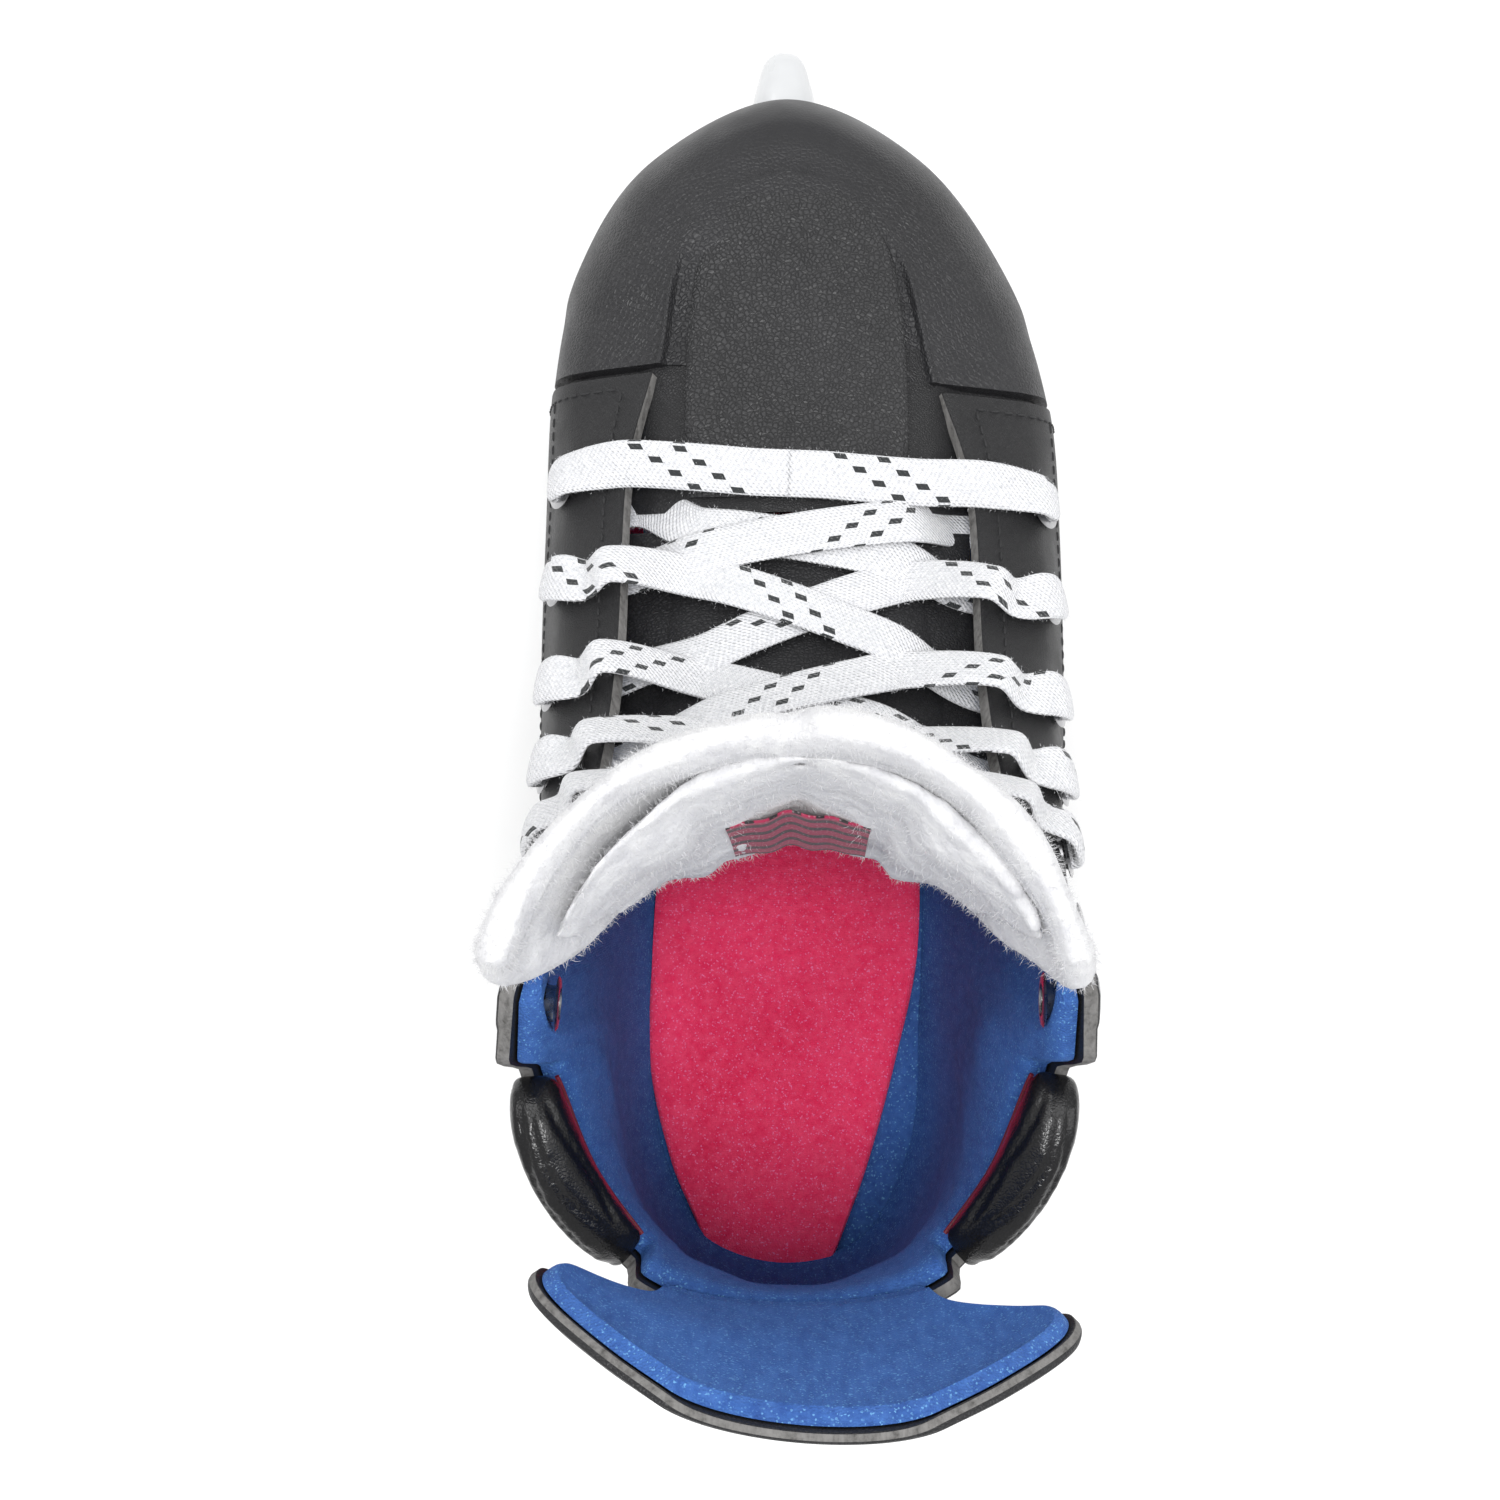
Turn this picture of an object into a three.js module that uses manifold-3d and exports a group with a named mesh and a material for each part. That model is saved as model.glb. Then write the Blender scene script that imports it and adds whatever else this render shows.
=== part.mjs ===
// A right-foot ice hockey skate, in millimetres. +Z is up, +Y points to the toe and +X to the outer (lateral) side.
// The origin is on the runner's flat bottom, in the middle of the blade.
import * as THREE from "three";
import { mergeVertices } from "three/addons/utils/BufferGeometryUtils.js";
import Module from "manifold-3d";

const wasm = await Module();
wasm.setup();

// ---------------------------------------------------------------- driving dimensions
const bootLength = 255; // toe cap to heel
const bootWidth = 106; // at the ball of the foot
const bootHeight = 145; // sole to the top front corner of the collar
const heelLift = 10; // the heel stands this much higher than the ball
const holderHeight = 50; // ground to the underside of the outsole at the ball
const outsoleThickness = 4.6;
const boardThickness = 2;
const insoleThickness = 4;
const quarterThickness = 2.6;
const linerThickness = 3.4;
const facingLining = 2.2; // the liner is thinner along the lace facings
const anklePadding = 2.8; // and thicker beside the ankle bones
const capThickness = 2.6;
const panelThickness = 1.3; // grained vamp panel
const vampThickness = 1.8;
const counterThickness = 1.8; // moulded heel counter
const eyeletRows = 7;
const lacedRows = 5;
const eyeletHole = 5.2; // inside diameter
const eyeletFlange = 9.4;
const laceWidth = 9.4;
const laceThickness = 1.6;
const agletDiameter = 2.8;
const tongueShell = 1.6; // outer vinyl
const tongueFelt = 6;
const guardHeight = 54; // tendon guard above the collar
const guardThickness = 2.4;
const guardLining = 3;
const runnerThickness = 3;
const runnerHeight = 24.5;
const railWidth = 8.8;
const rivetDiameter = 4;
const rivetHead = 8;
const postDiameter = 7;
const clearance = 0.35; // between pieces that touch

// ---------------------------------------------------------------- curves
const mix = (a, b, k) => a + (b - a) * k;
const mix3 = (a, b, k) => a.map((v, i) => mix(v, b[i], k));
const clamp = (v, low, high) => Math.min(high, Math.max(low, v));
const smooth = (k) => {
  const c = clamp(k, 0, 1);
  return c * c * (3 - 2 * c);
};
const range = (a, b, n) => Array.from({ length: n + 1 }, (_, i) => mix(a, b, i / n));
const add = (a, b, k = 1) => a.map((v, i) => v + b[i] * k);
const length = (a) => Math.hypot(...a);
const unit = (a) => a.map((v) => v / (length(a) || 1));
const cross = (a, b) => [a[1] * b[2] - a[2] * b[1], a[2] * b[0] - a[0] * b[2], a[0] * b[1] - a[1] * b[0]];
const dot = (a, b) => a.reduce((sum, v, i) => sum + v * b[i], 0);

// A smooth curve through points that stand at rising knots.
function through(knots, points) {
  const last = knots.length - 1;
  const slope = (i) => {
    const a = Math.max(i - 1, 0);
    const b = Math.min(i + 1, last);
    return points[a].map((v, k) => (points[b][k] - v) / (knots[b] - knots[a]));
  };
  return (t) => {
    let i = 0;
    while (i < last - 1 && t > knots[i + 1]) i++;
    const width = knots[i + 1] - knots[i];
    const k = (t - knots[i]) / width;
    const [m0, m1] = [slope(i), slope(i + 1)];
    return points[i].map(
      (v, n) =>
        (2 * k ** 3 - 3 * k ** 2 + 1) * v +
        (k ** 3 - 2 * k ** 2 + k) * width * m0[n] +
        (3 * k ** 2 - 2 * k ** 3) * points[i + 1][n] +
        (k ** 3 - k ** 2) * width * m1[n],
    );
  };
}
// The same for one number at each place.
const graph = (pairs) => {
  const curve = through(pairs.map((p) => p[0]), pairs.map((p) => [p[1]]));
  return (t) => curve(clamp(t, pairs[0][0], pairs.at(-1)[0]))[0];
};

// ---------------------------------------------------------------- solids
// Closes a list of quad grids into one body: shared corners are merged, collapsed faces dropped. Each quad is
// split on its shorter diagonal, so that surfaces that run beside each other are split alike.
function closed(grids) {
  const corners = [];
  const found = new Map();
  const number = (p) => {
    const key = p.map((v) => Math.round(v * 2000)).join();
    if (!found.has(key)) found.set(key, corners.push(p) - 1);
    return found.get(key);
  };
  const faces = [];
  for (const grid of grids)
    for (let i = 0; i + 1 < grid.length; i++)
      for (let j = 0; j + 1 < grid[i].length; j++) {
        const [a, b, c, d] = [grid[i][j], grid[i + 1][j], grid[i + 1][j + 1], grid[i][j + 1]].map(number);
        const span = (p, q) => length(add(corners[p], corners[q], -1));
        const halves = span(a, c) < span(b, d) ? [[a, b, c], [a, c, d]] : [[a, b, d], [b, c, d]];
        for (const f of halves) if (new Set(f).size === 3) faces.push(f);
      }
  const volume = faces.reduce((sum, [a, b, c]) => sum + dot(corners[a], cross(corners[b], corners[c])), 0);
  if (volume < 0) faces.forEach((f) => f.reverse());
  return new THREE.BufferGeometry()
    .setAttribute("position", new THREE.Float32BufferAttribute(corners.flat(), 3))
    .setIndex(faces.flat());
}
// A plate or shell between two surfaces over the same grid.
function shell(outer, inner, us, vs) {
  const grid = (f, a, b) => a.map((u) => b.map((v) => f(u, v)));
  const wall = (f, g, list, at) => list.map((p) => [f(...at(p)), g(...at(p))]);
  const [u0, u1, v0, v1] = [us[0], us.at(-1), vs[0], vs.at(-1)];
  const flip = (g) => g.map((row) => [...row].reverse());
  return closed([
    grid(outer, us, vs),
    flip(grid(inner, us, vs)),
    flip(wall(outer, inner, us, (u) => [u, v0])),
    wall(outer, inner, us, (u) => [u, v1]),
    wall(outer, inner, vs, (v) => [u0, v]),
    flip(wall(outer, inner, vs, (v) => [u1, v])),
  ]);
}
// A body lofted through closed sections, each a ring of points, with flat ends.
function loft(sections) {
  const rings = sections.map((s) => [...s, s[0]]);
  const middle = (s) => s.reduce((sum, p) => add(sum, p), [0, 0, 0]).map((v) => v / s.length);
  const end = (ring, centre) => ring.map((p) => [p, centre]);
  const flip = (g) => g.map((row) => [...row].reverse());
  return closed([
    rings,
    end(rings[0], middle(sections[0])),
    flip(end(rings.at(-1), middle(sections.at(-1)))),
  ]);
}
// A closed superellipse outline with half sizes a and b.
const oval = (a, b, power, n) =>
  range(0, 2 * Math.PI, n)
    .slice(0, n)
    .map((w) => [
      a * Math.sign(Math.cos(w)) * Math.abs(Math.cos(w)) ** (2 / power),
      b * Math.sign(Math.sin(w)) * Math.abs(Math.sin(w)) ** (2 / power),
    ]);
// A turned piece along a direction, from a closed profile of [radius, height] points.
function turned(profile, sides, place, direction) {
  const g = new THREE.LatheGeometry([...profile, profile[0]].map((p) => new THREE.Vector2(...p)), sides);
  const turn = new THREE.Quaternion().setFromUnitVectors(
    new THREE.Vector3(0, 1, 0),
    new THREE.Vector3(...unit(direction)),
  );
  return g.applyQuaternion(turn).translate(...place);
}
const rod = (radius, from, to, sides = 16) =>
  turned([[0, 0], [radius, 0], [radius, length(add(to, from, -1))], [0, length(add(to, from, -1))]], sides, from, add(to, from, -1));
function solidOf(geometry) {
  const g = geometry.clone();
  g.deleteAttribute("normal");
  g.deleteAttribute("uv");
  const merged = mergeVertices(g, 1e-3);
  const index = Array.from(merged.index.array);
  const kept = [];
  for (let i = 0; i < index.length; i += 3) {
    const f = index.slice(i, i + 3);
    if (new Set(f).size === 3) kept.push(...f);
  }
  const solid = new wasm.Manifold(
    new wasm.Mesh({
      numProp: 3,
      vertProperties: new Float32Array(merged.attributes.position.array),
      triVerts: new Uint32Array(kept),
    }),
  );
  if (solid.volume() >= 0) return solid;
  const turnedRound = [];
  for (let i = 0; i < kept.length; i += 3) turnedRound.push(kept[i], kept[i + 2], kept[i + 1]);
  return new wasm.Manifold(
    new wasm.Mesh({
      numProp: 3,
      vertProperties: new Float32Array(merged.attributes.position.array),
      triVerts: new Uint32Array(turnedRound),
    }),
  );
}
function geometryOf(solid) {
  const mesh = solid.getMesh();
  const positions = [];
  for (let i = 0; i < mesh.numVert; i++)
    positions.push(...mesh.vertProperties.subarray(i * mesh.numProp, i * mesh.numProp + 3));
  return new THREE.BufferGeometry()
    .setAttribute("position", new THREE.Float32BufferAttribute(positions, 3))
    .setIndex(Array.from(mesh.triVerts));
}
const cut = (geometry, tools) =>
  geometryOf(tools.reduce((solid, tool) => solid.subtract(solidOf(tool)), solidOf(geometry)));
const join = (geometries) => geometryOf(geometries.map(solidOf).reduce((a, b) => a.add(b)));

// ---------------------------------------------------------------- the boot's outer form
// Five rails run from the heel (station 0) to the toe (station 11): sole edge, low bulge, upper bulge,
// eyelet line and top edge. They are drawn on a reference boot as [x, y, height above the sole edge]
// and stretched to the driving dimensions.
const reference = { length: 255, halfWidth: 53, height: 145, toe: 136, heel: -119 };
const stretch = {
  x: bootWidth / 2 / reference.halfWidth,
  y: bootLength / reference.length,
  z: bootHeight / reference.height,
};
const rails = [
  // sole edge
  [[0, -112, 0], [20, -105, 0], [31, -84, 0], [33, -55, 0], [33, -31, 0], [34.5, -8, 0], [40, 20, 0],
    [46, 50, 0], [45, 76, 0], [38.5, 100, 0], [23.5, 119, 1.5], [0, 129, 3.5]],
  // low bulge
  [[0, -119, 19], [23.5, -110.5, 19], [36.5, -86, 18.5], [38.5, -55, 17], [40, -33, 17], [43, -11, 16], [50.5, 17, 14],
    [54.5, 50, 11], [53, 77, 10.5], [45, 101.5, 10.5], [27.5, 124, 11.5], [0, 136, 13]],
  // upper bulge
  [[0, -115.5, 53], [24, -106.5, 53], [38.5, -83, 53], [43, -55, 54], [46, -38, 54], [50, -16, 46], [55.5, 13, 35],
    [56.7, 51, 25], [54.5, 78, 22], [45.5, 101.5, 21.5], [27.5, 123.5, 22], [0, 136, 23]],
  // eyelet line
  [[0, -104, 90], [22, -97.5, 90], [38.5, -79.5, 90], [46, -55, 94], [49.5, -44, 125.3], [48.5, -19, 99], [50, 10.5, 73],
    [50.5, 52.5, 48], [48.5, 78, 38], [39, 100, 35], [23.5, 119, 34.5], [0, 129.5, 34.5]],
  // top edge
  [[0, -99.5, 121], [24.5, -95, 119], [42, -79, 119], [50.5, -55, 127], [48, -31, 137], [39.5, -11, 108], [36.8, 17, 80.5],
    [36.5, 55, 55], [30, 79, 46], [24.5, 100, 43], [15, 112, 41.5], [0, 118, 40]],
];
const railHeights = [0, 0.17, 0.43, 0.78, 1];
const lastStation = rails[0].length - 1;
const eyeletLine = railHeights[3];
const stations = range(0, lastStation, lastStation);
// The inner side of the foot is straighter, and the outer side's ball joint sits further back.
const medialShare = graph([[0, 1], [3, 1], [4, 0.97], [5, 0.93], [6, 0.9], [7, 0.88], [8, 0.89], [9, 0.94], [10, 1], [11, 1]]);
const lateralSetback = graph([[0, 0], [4, 0], [6, 3], [7, 4], [8, 4], [9, 2], [10, 0], [11, 0]]);
const lift = (y) => heelLift * smooth((12 - y / stretch.y) / 60);
const railCurves = rails.map((points) => {
  const mirrored = (p) => [-p[0], p[1], p[2]];
  return through(
    [-1, ...stations, lastStation + 1],
    [mirrored(points[1]), ...points, mirrored(points[lastStation - 1])],
  );
});
const soleZ = holderHeight + outsoleThickness + clearance;
// A point of the outer form; side is -1 for the inner (medial) and 1 for the outer (lateral) side.
function form(side, t, v) {
  const profile = through(railHeights, railCurves.map((curve) => curve(t)))(v);
  const x = profile[0] * stretch.x * (side < 0 ? medialShare(t) : 1);
  const y = (profile[1] - (side > 0 ? lateralSetback(t) : 0)) * stretch.y;
  return [side * x, y, soleZ + profile[2] * stretch.z + lift(y)];
}
function formNormal(side, t, v) {
  const step = 0.02;
  const [v0, v1] = [Math.max(v - step, 0), Math.min(v + step, 1)];
  const along = add(form(side, t + step, v), form(side, t - step, v), -1);
  const up = add(form(side, t, v1), form(side, t, v0), -1);
  return unit(cross(along, up).map((n) => n * side));
}
// The form moved outwards by a distance, or inwards where it is negative.
const offset = (side, t, v, distance) => add(form(side, t, v), formNormal(side, t, v), distance);
// The same with both sides on one number: negative stations are the inner side's.
const around = (u, v, distance) => offset(u < 0 ? -1 : 1, Math.abs(u), v, distance);

const group = new THREE.Group();
const colours = {
  black: [0x1b1b1d, 0.55, 0],
  gloss: [0x101012, 0.18, 0],
  cap: [0x232325, 0.6, 0],
  blue: [0x1f4284, 0.95, 0],
  red: [0xd81e45, 0.9, 0],
  felt: [0xf2f1ee, 1, 0],
  white: [0xe9ecee, 0.35, 0],
  lace: [0xf4f4f4, 0.95, 0],
  steel: [0xc9ccd0, 0.25, 1],
  nickel: [0x8d8f92, 0.35, 1],
  board: [0x6a5a48, 0.9, 0],
  aglet: [0xe8ecef, 0.2, 0],
};
function part(name, finish, geometry) {
  const [color, roughness, metalness] = colours[finish];
  const mesh = new THREE.Mesh(geometry, new THREE.MeshStandardMaterial({ color, roughness, metalness }));
  mesh.name = name;
  group.add(mesh);
  return mesh;
}
const sides = [["medial", -1], ["lateral", 1]];

// ---------------------------------------------------------------- eyelets and their holes
const quarterFront = 7.86; // stations between which the quarters run
const rowStation = (row) => 7 - 0.485 * (row - 1);
const eyelets = sides.flatMap(([name, side]) =>
  range(1, eyeletRows, eyeletRows - 1).map((row) => ({
    name: `eyelet_${name}_${row}`,
    side,
    row,
    centre: form(side, rowStation(row), eyeletLine),
    normal: formNormal(side, rowStation(row), eyeletLine),
  })),
);
const facingDepth = quarterThickness + clearance + facingLining;
const eyeletWall = 0.5;
const flangeThickness = 0.7;
const outerRelief = 0.9; // the outer flange stands on the highest point of the facing
const innerRelief = 2.4; // the inner flange stands off the hollow side of the facing
for (const e of eyelets) {
  const [bore, barrel, flange] = [eyeletHole / 2, eyeletHole / 2 + eyeletWall, eyeletFlange / 2];
  const [top, bottom] = [outerRelief, -facingDepth - innerRelief];
  e.top = top + flangeThickness;
  e.bottom = bottom - flangeThickness;
  e.geometry = turned(
    [[bore, e.bottom], [flange, e.bottom], [flange, bottom], [barrel, bottom], [barrel, top], [flange, top], [bore, e.top]],
    8,
    e.centre,
    e.normal,
  );
}
const holeRadius = (eyeletHole / 2 + eyeletWall + clearance) / Math.cos(Math.PI / 8);
const eyeletHoles = (side, radius) =>
  eyelets
    .filter((e) => e.side === side || side === 0)
    .map((e) => rod(radius, add(e.centre, e.normal, -14), add(e.centre, e.normal, 5), 8));

// ---------------------------------------------------------------- upper
const padStations = [1.36, 2.94]; // the padded collar runs between these stations
const padSeat = 0.915; // and starts at this height on the form
const padRun = 0.16; // stations over which the quarter's edge drops to the pad
const inPad = (t) =>
  smooth((t - padStations[0] + padRun + 0.02) / padRun) * smooth((padStations[1] + padRun + 0.02 - t) / padRun);
// Where the quarters and the liner stop: lower under the padded collar.
const topOf = (t) => mix(1, padSeat - 0.015, inPad(t));
const heelSeam = 0.006; // half the gap of the seam down the heel, in stations
// The quarters, the liner and the counter share these lines, so that their faces stay parallel.
const upperLines = [0.5, 1, 1.18, 1.34, 2, 2.96, 3.12, 3.6, 4, 4.3, 4.7, 5.3, 5.9, 6.5, 7.1];
const upperHeights = [0.17, 0.43, 0.64, 0.78, 0.9];
for (const [name, side] of sides) {
  const us = [heelSeam, ...upperLines, quarterFront];
  const vs = [0, ...upperHeights, 1];
  const at = (depth) => (u, v) => offset(side, u, v * topOf(u), depth);
  const body = shell(at(0), at(-quarterThickness), us, vs);
  part(`quarter_${name}`, "black", cut(body, eyeletHoles(side, holeRadius)));
}

const linerFront = 7.5;
const linerFoot = 0.045;
const linerDepth = (t, v) => {
  const ankle = anklePadding * smooth(1 - Math.abs(t - 2.9) / 1.6) * smooth(1 - Math.abs(v - 0.62) / 0.4);
  const nearFacing = smooth((t - 3.5) / 0.6) * smooth((v - 0.5) / 0.2);
  return mix(linerThickness, facingLining, nearFacing) + ankle;
};
{
  const half = [...upperLines, linerFront];
  const us = [...half.map((u) => -u).reverse(), 0, ...half];
  const vs = [linerFoot, ...upperHeights, 0.97];
  const height = (u, v) => v * topOf(Math.abs(u));
  const first = quarterThickness + 1.4 * clearance;
  const outer = (u, v) => around(u, height(u, v), -first);
  const inner = (u, v) => around(u, height(u, v), -first - linerDepth(Math.abs(u), height(u, v)));
  part("liner", "blue", cut(shell(outer, inner, us, vs), eyeletHoles(0, holeRadius)));
}
for (const e of eyelets) part(e.name, "nickel", e.geometry);

// Glossy padded collar: a bolster on the rim of each quarter, thinning to its ends.
for (const [name, side] of sides) {
  const [from, to] = padStations;
  const us = range(from, to, 9);
  const section = (t) => {
    const k = Math.sqrt(Math.max(0.04, 1 - ((2 * (t - from)) / (to - from) - 1) ** 2));
    const depth = quarterThickness + clearance + linerThickness;
    return [
      [padSeat, 0.5 * k],
      [padSeat + 0.02, 1.6 * k],
      [padSeat + 0.05, 1.9 * k],
      [padSeat + 0.075, 0.6 * k],
      [padSeat + 0.085, -2.5],
      [padSeat + 0.08, -5.5],
      [padSeat + 0.055, -depth - 2.4 * k],
      [padSeat + 0.02, -depth - 3 * k],
      [padSeat, -depth - 1.6 * k],
    ].map(([v, d]) => offset(side, t, mix(padSeat, v, k), d));
  };
  part(`ankle_pad_${name}`, "gloss", loft(us.map(section)));
}

// Moulded counter round the heel.
{
  const half = upperLines.filter((t) => t < 3);
  const us = [...half.map((u) => -u).reverse(), 0, ...half];
  const reach = (u) => mix(0.45, 0.19, smooth(Math.abs(u) / 2.9));
  const at = (depth) => (u, v) => around(u, v === 2 ? reach(u) : v * upperHeights[0] + 0.012, depth);
  part("heel_counter", "cap", shell(at(2 * clearance + counterThickness), at(2 * clearance), us, [0, 1, 2]));
}

// ---------------------------------------------------------------- sole, board and insole
// Plates span between the inner and outer side at the same station.
function plate(top, bottom, inset, cuts = []) {
  const us = range(0, lastStation, 17);
  const vs = [-1, 0, 1];
  const at = (z) => (t, s) => {
    const [a, b] = [-1, 1].map((side) => {
      const p = form(side, t, 0);
      const n = formNormal(side, t, 0.02);
      const flat = unit([n[0], n[1], 0]);
      return add(p, flat, -inset);
    });
    if (t === 0 || t === lastStation) a[0] = b[0] = 0;
    const p = mix3(a, b, (s + 1) / 2);
    return [p[0], p[1], p[2] + z];
  };
  const body = shell(at(top), at(bottom), us, vs);
  return cuts.length ? cut(body, cuts) : body;
}
const boardBottom = clearance;
const boardTop = boardBottom + boardThickness;
const clinchHeight = 1.25; // the rivets' inner ends, under the insole
const insoleBottom = boardTop + clearance + clinchHeight + clearance;
const insoleTop = insoleBottom + insoleThickness;
const frontPlate = { from: 16, to: 107, half: 33 };
const rearPlate = { from: -111, to: -50, half: 24 };
const rivetPlaces = [
  [-22, 96], [22, 96], [-24, 30], [24, 30],
  [-17, -62], [17, -62], [-15, -98], [15, -98],
].map(([x, y]) => [x * stretch.x, y * stretch.y]);
const postPlaces = [["front", 80], ["rear", -80]].map(([name, y]) => [name, y * stretch.y]);
const underSole = (y) => holderHeight + lift(y);
const boardTopAt = (y) => underSole(y) + outsoleThickness + clearance + boardTop;
const drill = (x, y, radius) => rod(radius, [x, y, 5], [x, y, 90], 8);
const soleHoles = [
  ...rivetPlaces.map(([x, y]) => drill(x, y, rivetDiameter / 2 + clearance)),
  ...postPlaces.map(([, y]) => drill(0, y, postDiameter / 2 + clearance)),
];
part("outsole", "cap", plate(-clearance, -clearance - outsoleThickness + clearance, -1, soleHoles));
part("lasting_board", "board", plate(boardTop, boardBottom, quarterThickness + clearance + 0.3, soleHoles));
const insoleTopAt = soleZ + insoleTop; // at the forefoot
const nutHeight = 3.2;
const nutWidth = 11;
const recess = postPlaces.map(([, y]) => rod(nutWidth / 2 + 1.2, [0, y, 20], [0, y, boardTopAt(y) + nutHeight + 0.6], 16));
part("insole", "red", plate(insoleTop, insoleBottom, quarterThickness + linerThickness + 1.3, recess));

// ---------------------------------------------------------------- toe cap and vamp
// Height of the vamp's middle line above the sole, along y.
const vampLine = graph([[30, 63.5], [49, 58.5], [65, 54], [79, 50], [90, 47.5], [105, 44], [118, 40.4]]);
const vampTop = (y) => soleZ + vampLine(y / stretch.y) * stretch.z;
const capFront = lastStation - 7.95; // the cap's rear edge, counted from the toe
const capRecess = panelThickness + clearance;
{
  const half = [0, 0.3, 0.6, 0.9, 1.2, 1.6, 2, 2.5, capFront];
  const ws = [...half.slice(1).reverse().map((w) => -w), ...half];
  const vs = [0, 0.17, 0.43, 0.67, 0.85, 1];
  const wall = (depth) => (w, v) => offset(w < 0 ? -1 : 1, lastStation - Math.abs(w), v, depth);
  const foot = 0.012;
  const outer = (w, v) => wall(0)(w, mix(foot, 1, v));
  const inner = (w, v) => wall(-capThickness)(w, mix(foot, 1, v));
  // Across the crown from the inner ridge to the outer one, dipping by the panel's thickness.
  const ss = [-1, -0.92, -0.5, 0, 0.5, 0.92, 1];
  const crown = (edge, sink) => (w, s) => {
    const p = mix3(edge(-w, 1), edge(w, 1), (s + 1) / 2);
    const rise = Math.max(0, vampTop(p[1]) - sink - p[2]) * (1 - s * s) ** 0.8;
    const dip = capRecess * smooth((1 - Math.abs(s)) / 0.09) * smooth(w / 0.8);
    return [p[0], p[1], p[2] + rise - dip];
  };
  const flip = (g) => g.map((row) => [...row].reverse());
  const grid = (f, a, b) => a.map((u) => b.map((v) => f(u, v)));
  const crownOut = crown(outer, 0);
  const crownIn = crown(inner, capThickness);
  const rearWall = (side) => vs.map((v) => [outer(side * capFront, v), inner(side * capFront, v)]);
  part(
    "toe_cap",
    "cap",
    closed([
      grid(outer, ws, vs),
      flip(grid(inner, ws, vs)),
      flip(grid(crownOut, half, ss)),
      grid(crownIn, half, ss),
      flip(ws.map((w) => [outer(w, 0), inner(w, 0)])),
      rearWall(-1),
      flip(rearWall(1)),
      flip(ss.map((s) => [crownIn(capFront, s), crownOut(capFront, s)])),
    ]),
  );
}
// The grained panel from the cap's front crease to the tongue, and the smooth vamp under it.
const panelHalf = graph([[44, 19], [50, 21.5], [79, 22], [100, 19.5], [110, 14], [113, 9]]);
const vampHalf = 27.5;
const panelEnds = [50, 113];
const vampEnds = [54, 71];
{
  const arch = (x, y) => vampTop(y) - 4 * stretch.z * (Math.abs(x) / (30 * stretch.x)) ** 2;
  const centreX = 1.6 * stretch.x;
  const at = (sink) => (y, s) => {
    const x = s * panelHalf(y) * stretch.x;
    const yy = y * stretch.y;
    const forward = smooth((y - 95) / 20) * 0.6;
    return [centreX + x, yy, arch(x, yy) - sink + forward];
  };
  const ys = [...range(panelEnds[0], 100, 6), 106, 110, panelEnds[1]];
  part("vamp_panel", "black", shell(at(0), at(panelThickness), ys, range(-1, 1, 6)));
  const vampAt = (sink) => (y, s) => {
    const x = s * vampHalf * stretch.x;
    const yy = y * stretch.y;
    return [centreX + x, yy, arch(x, yy) - panelThickness - clearance - sink - 1.4 * Math.abs(s) ** 3];
  };
  part("vamp", "black", shell(vampAt(0), vampAt(vampThickness), range(...vampEnds, 4), range(-1, 1, 10)));
}

// ---------------------------------------------------------------- tongue
// The tongue's outer face, from its seam at the vamp (0) to its top edge (9):
// [x of the middle, y, z above the sole, half width, depth of the wings].
const tongueRows = [
  [1.6, 45.4, 56.2, 25, 2.8], [1.8, 31, 63.8, 25, 3.6], [1.8, 14.5, 75.5, 27.5, 5], [1.6, 1.5, 89, 28, 6.4],
  [1.5, -6.5, 102, 32, 9], [1.3, -8, 115, 33.2, 13], [0.8, -4, 130, 36, 20], [0.2, 2, 148, 42, 34],
  [0, 6.5, 167, 48.5, 43], [0, 9.5, 183, 47.5, 40],
].map(([x, y, z, half, depth]) => [x * stretch.x, y * stretch.y, z * stretch.z + soleZ, half * stretch.x, depth * stretch.y]);
const tongueCurve = through(range(0, 9, 9), tongueRows);
// The wings fold back square to the tongue low down, and level near the top.
const foldAngle = graph([[0, -62], [2, -52], [3.5, -40], [5, -18], [6.5, -6], [9, -4]]);
const wingSweep = THREE.MathUtils.degToRad(76);
function tongueFace(s, q) {
  const [x, y, z, half, depth] = tongueCurve(s);
  const angle = THREE.MathUtils.degToRad(foldAngle(s));
  const back = (depth * (1 - Math.cos(q * wingSweep))) / (1 - Math.cos(wingSweep));
  return [
    x + (half * Math.sin(q * wingSweep)) / Math.sin(wingSweep),
    y - back * Math.cos(angle),
    z + back * Math.sin(angle),
  ];
}
function tongueNormal(s, q) {
  const step = 0.02;
  const along = add(tongueFace(Math.min(s + step, 9), q), tongueFace(Math.max(s - step, 0), q), -1);
  const acrossIt = add(tongueFace(s, q + step), tongueFace(s, q - step), -1);
  return unit(cross(along, acrossIt));
}
const tongueAt = (depth) => (s, q) => add(tongueFace(s, q), tongueNormal(s, q), -depth);
const tongueBreak = 4.75; // the flap folds forwards here
const breakGap = 0.032;
const tongueLayer = (outer, inner, from, to, rows, reachOf) => {
  const at = (depth) => (s, q) => tongueAt(depth(s, q))(s, q * reachOf(s));
  return shell(at(outer), at(inner), range(from, to, rows), range(-1, 1, 10));
};
const flat = (d) => () => d;
const feltFrom = tongueShell + clearance;
const feltDepth = (s) => mix(tongueFelt * 0.75, tongueFelt, smooth((s - 2) / 4));
const rounded = (q) => Math.sqrt(Math.max(0.1, 1 - Math.abs(q) ** 6));
part("tongue_shell_lower", "black", tongueLayer(flat(0), flat(tongueShell), 0, tongueBreak - breakGap, 7, flat(0.97)));
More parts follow.
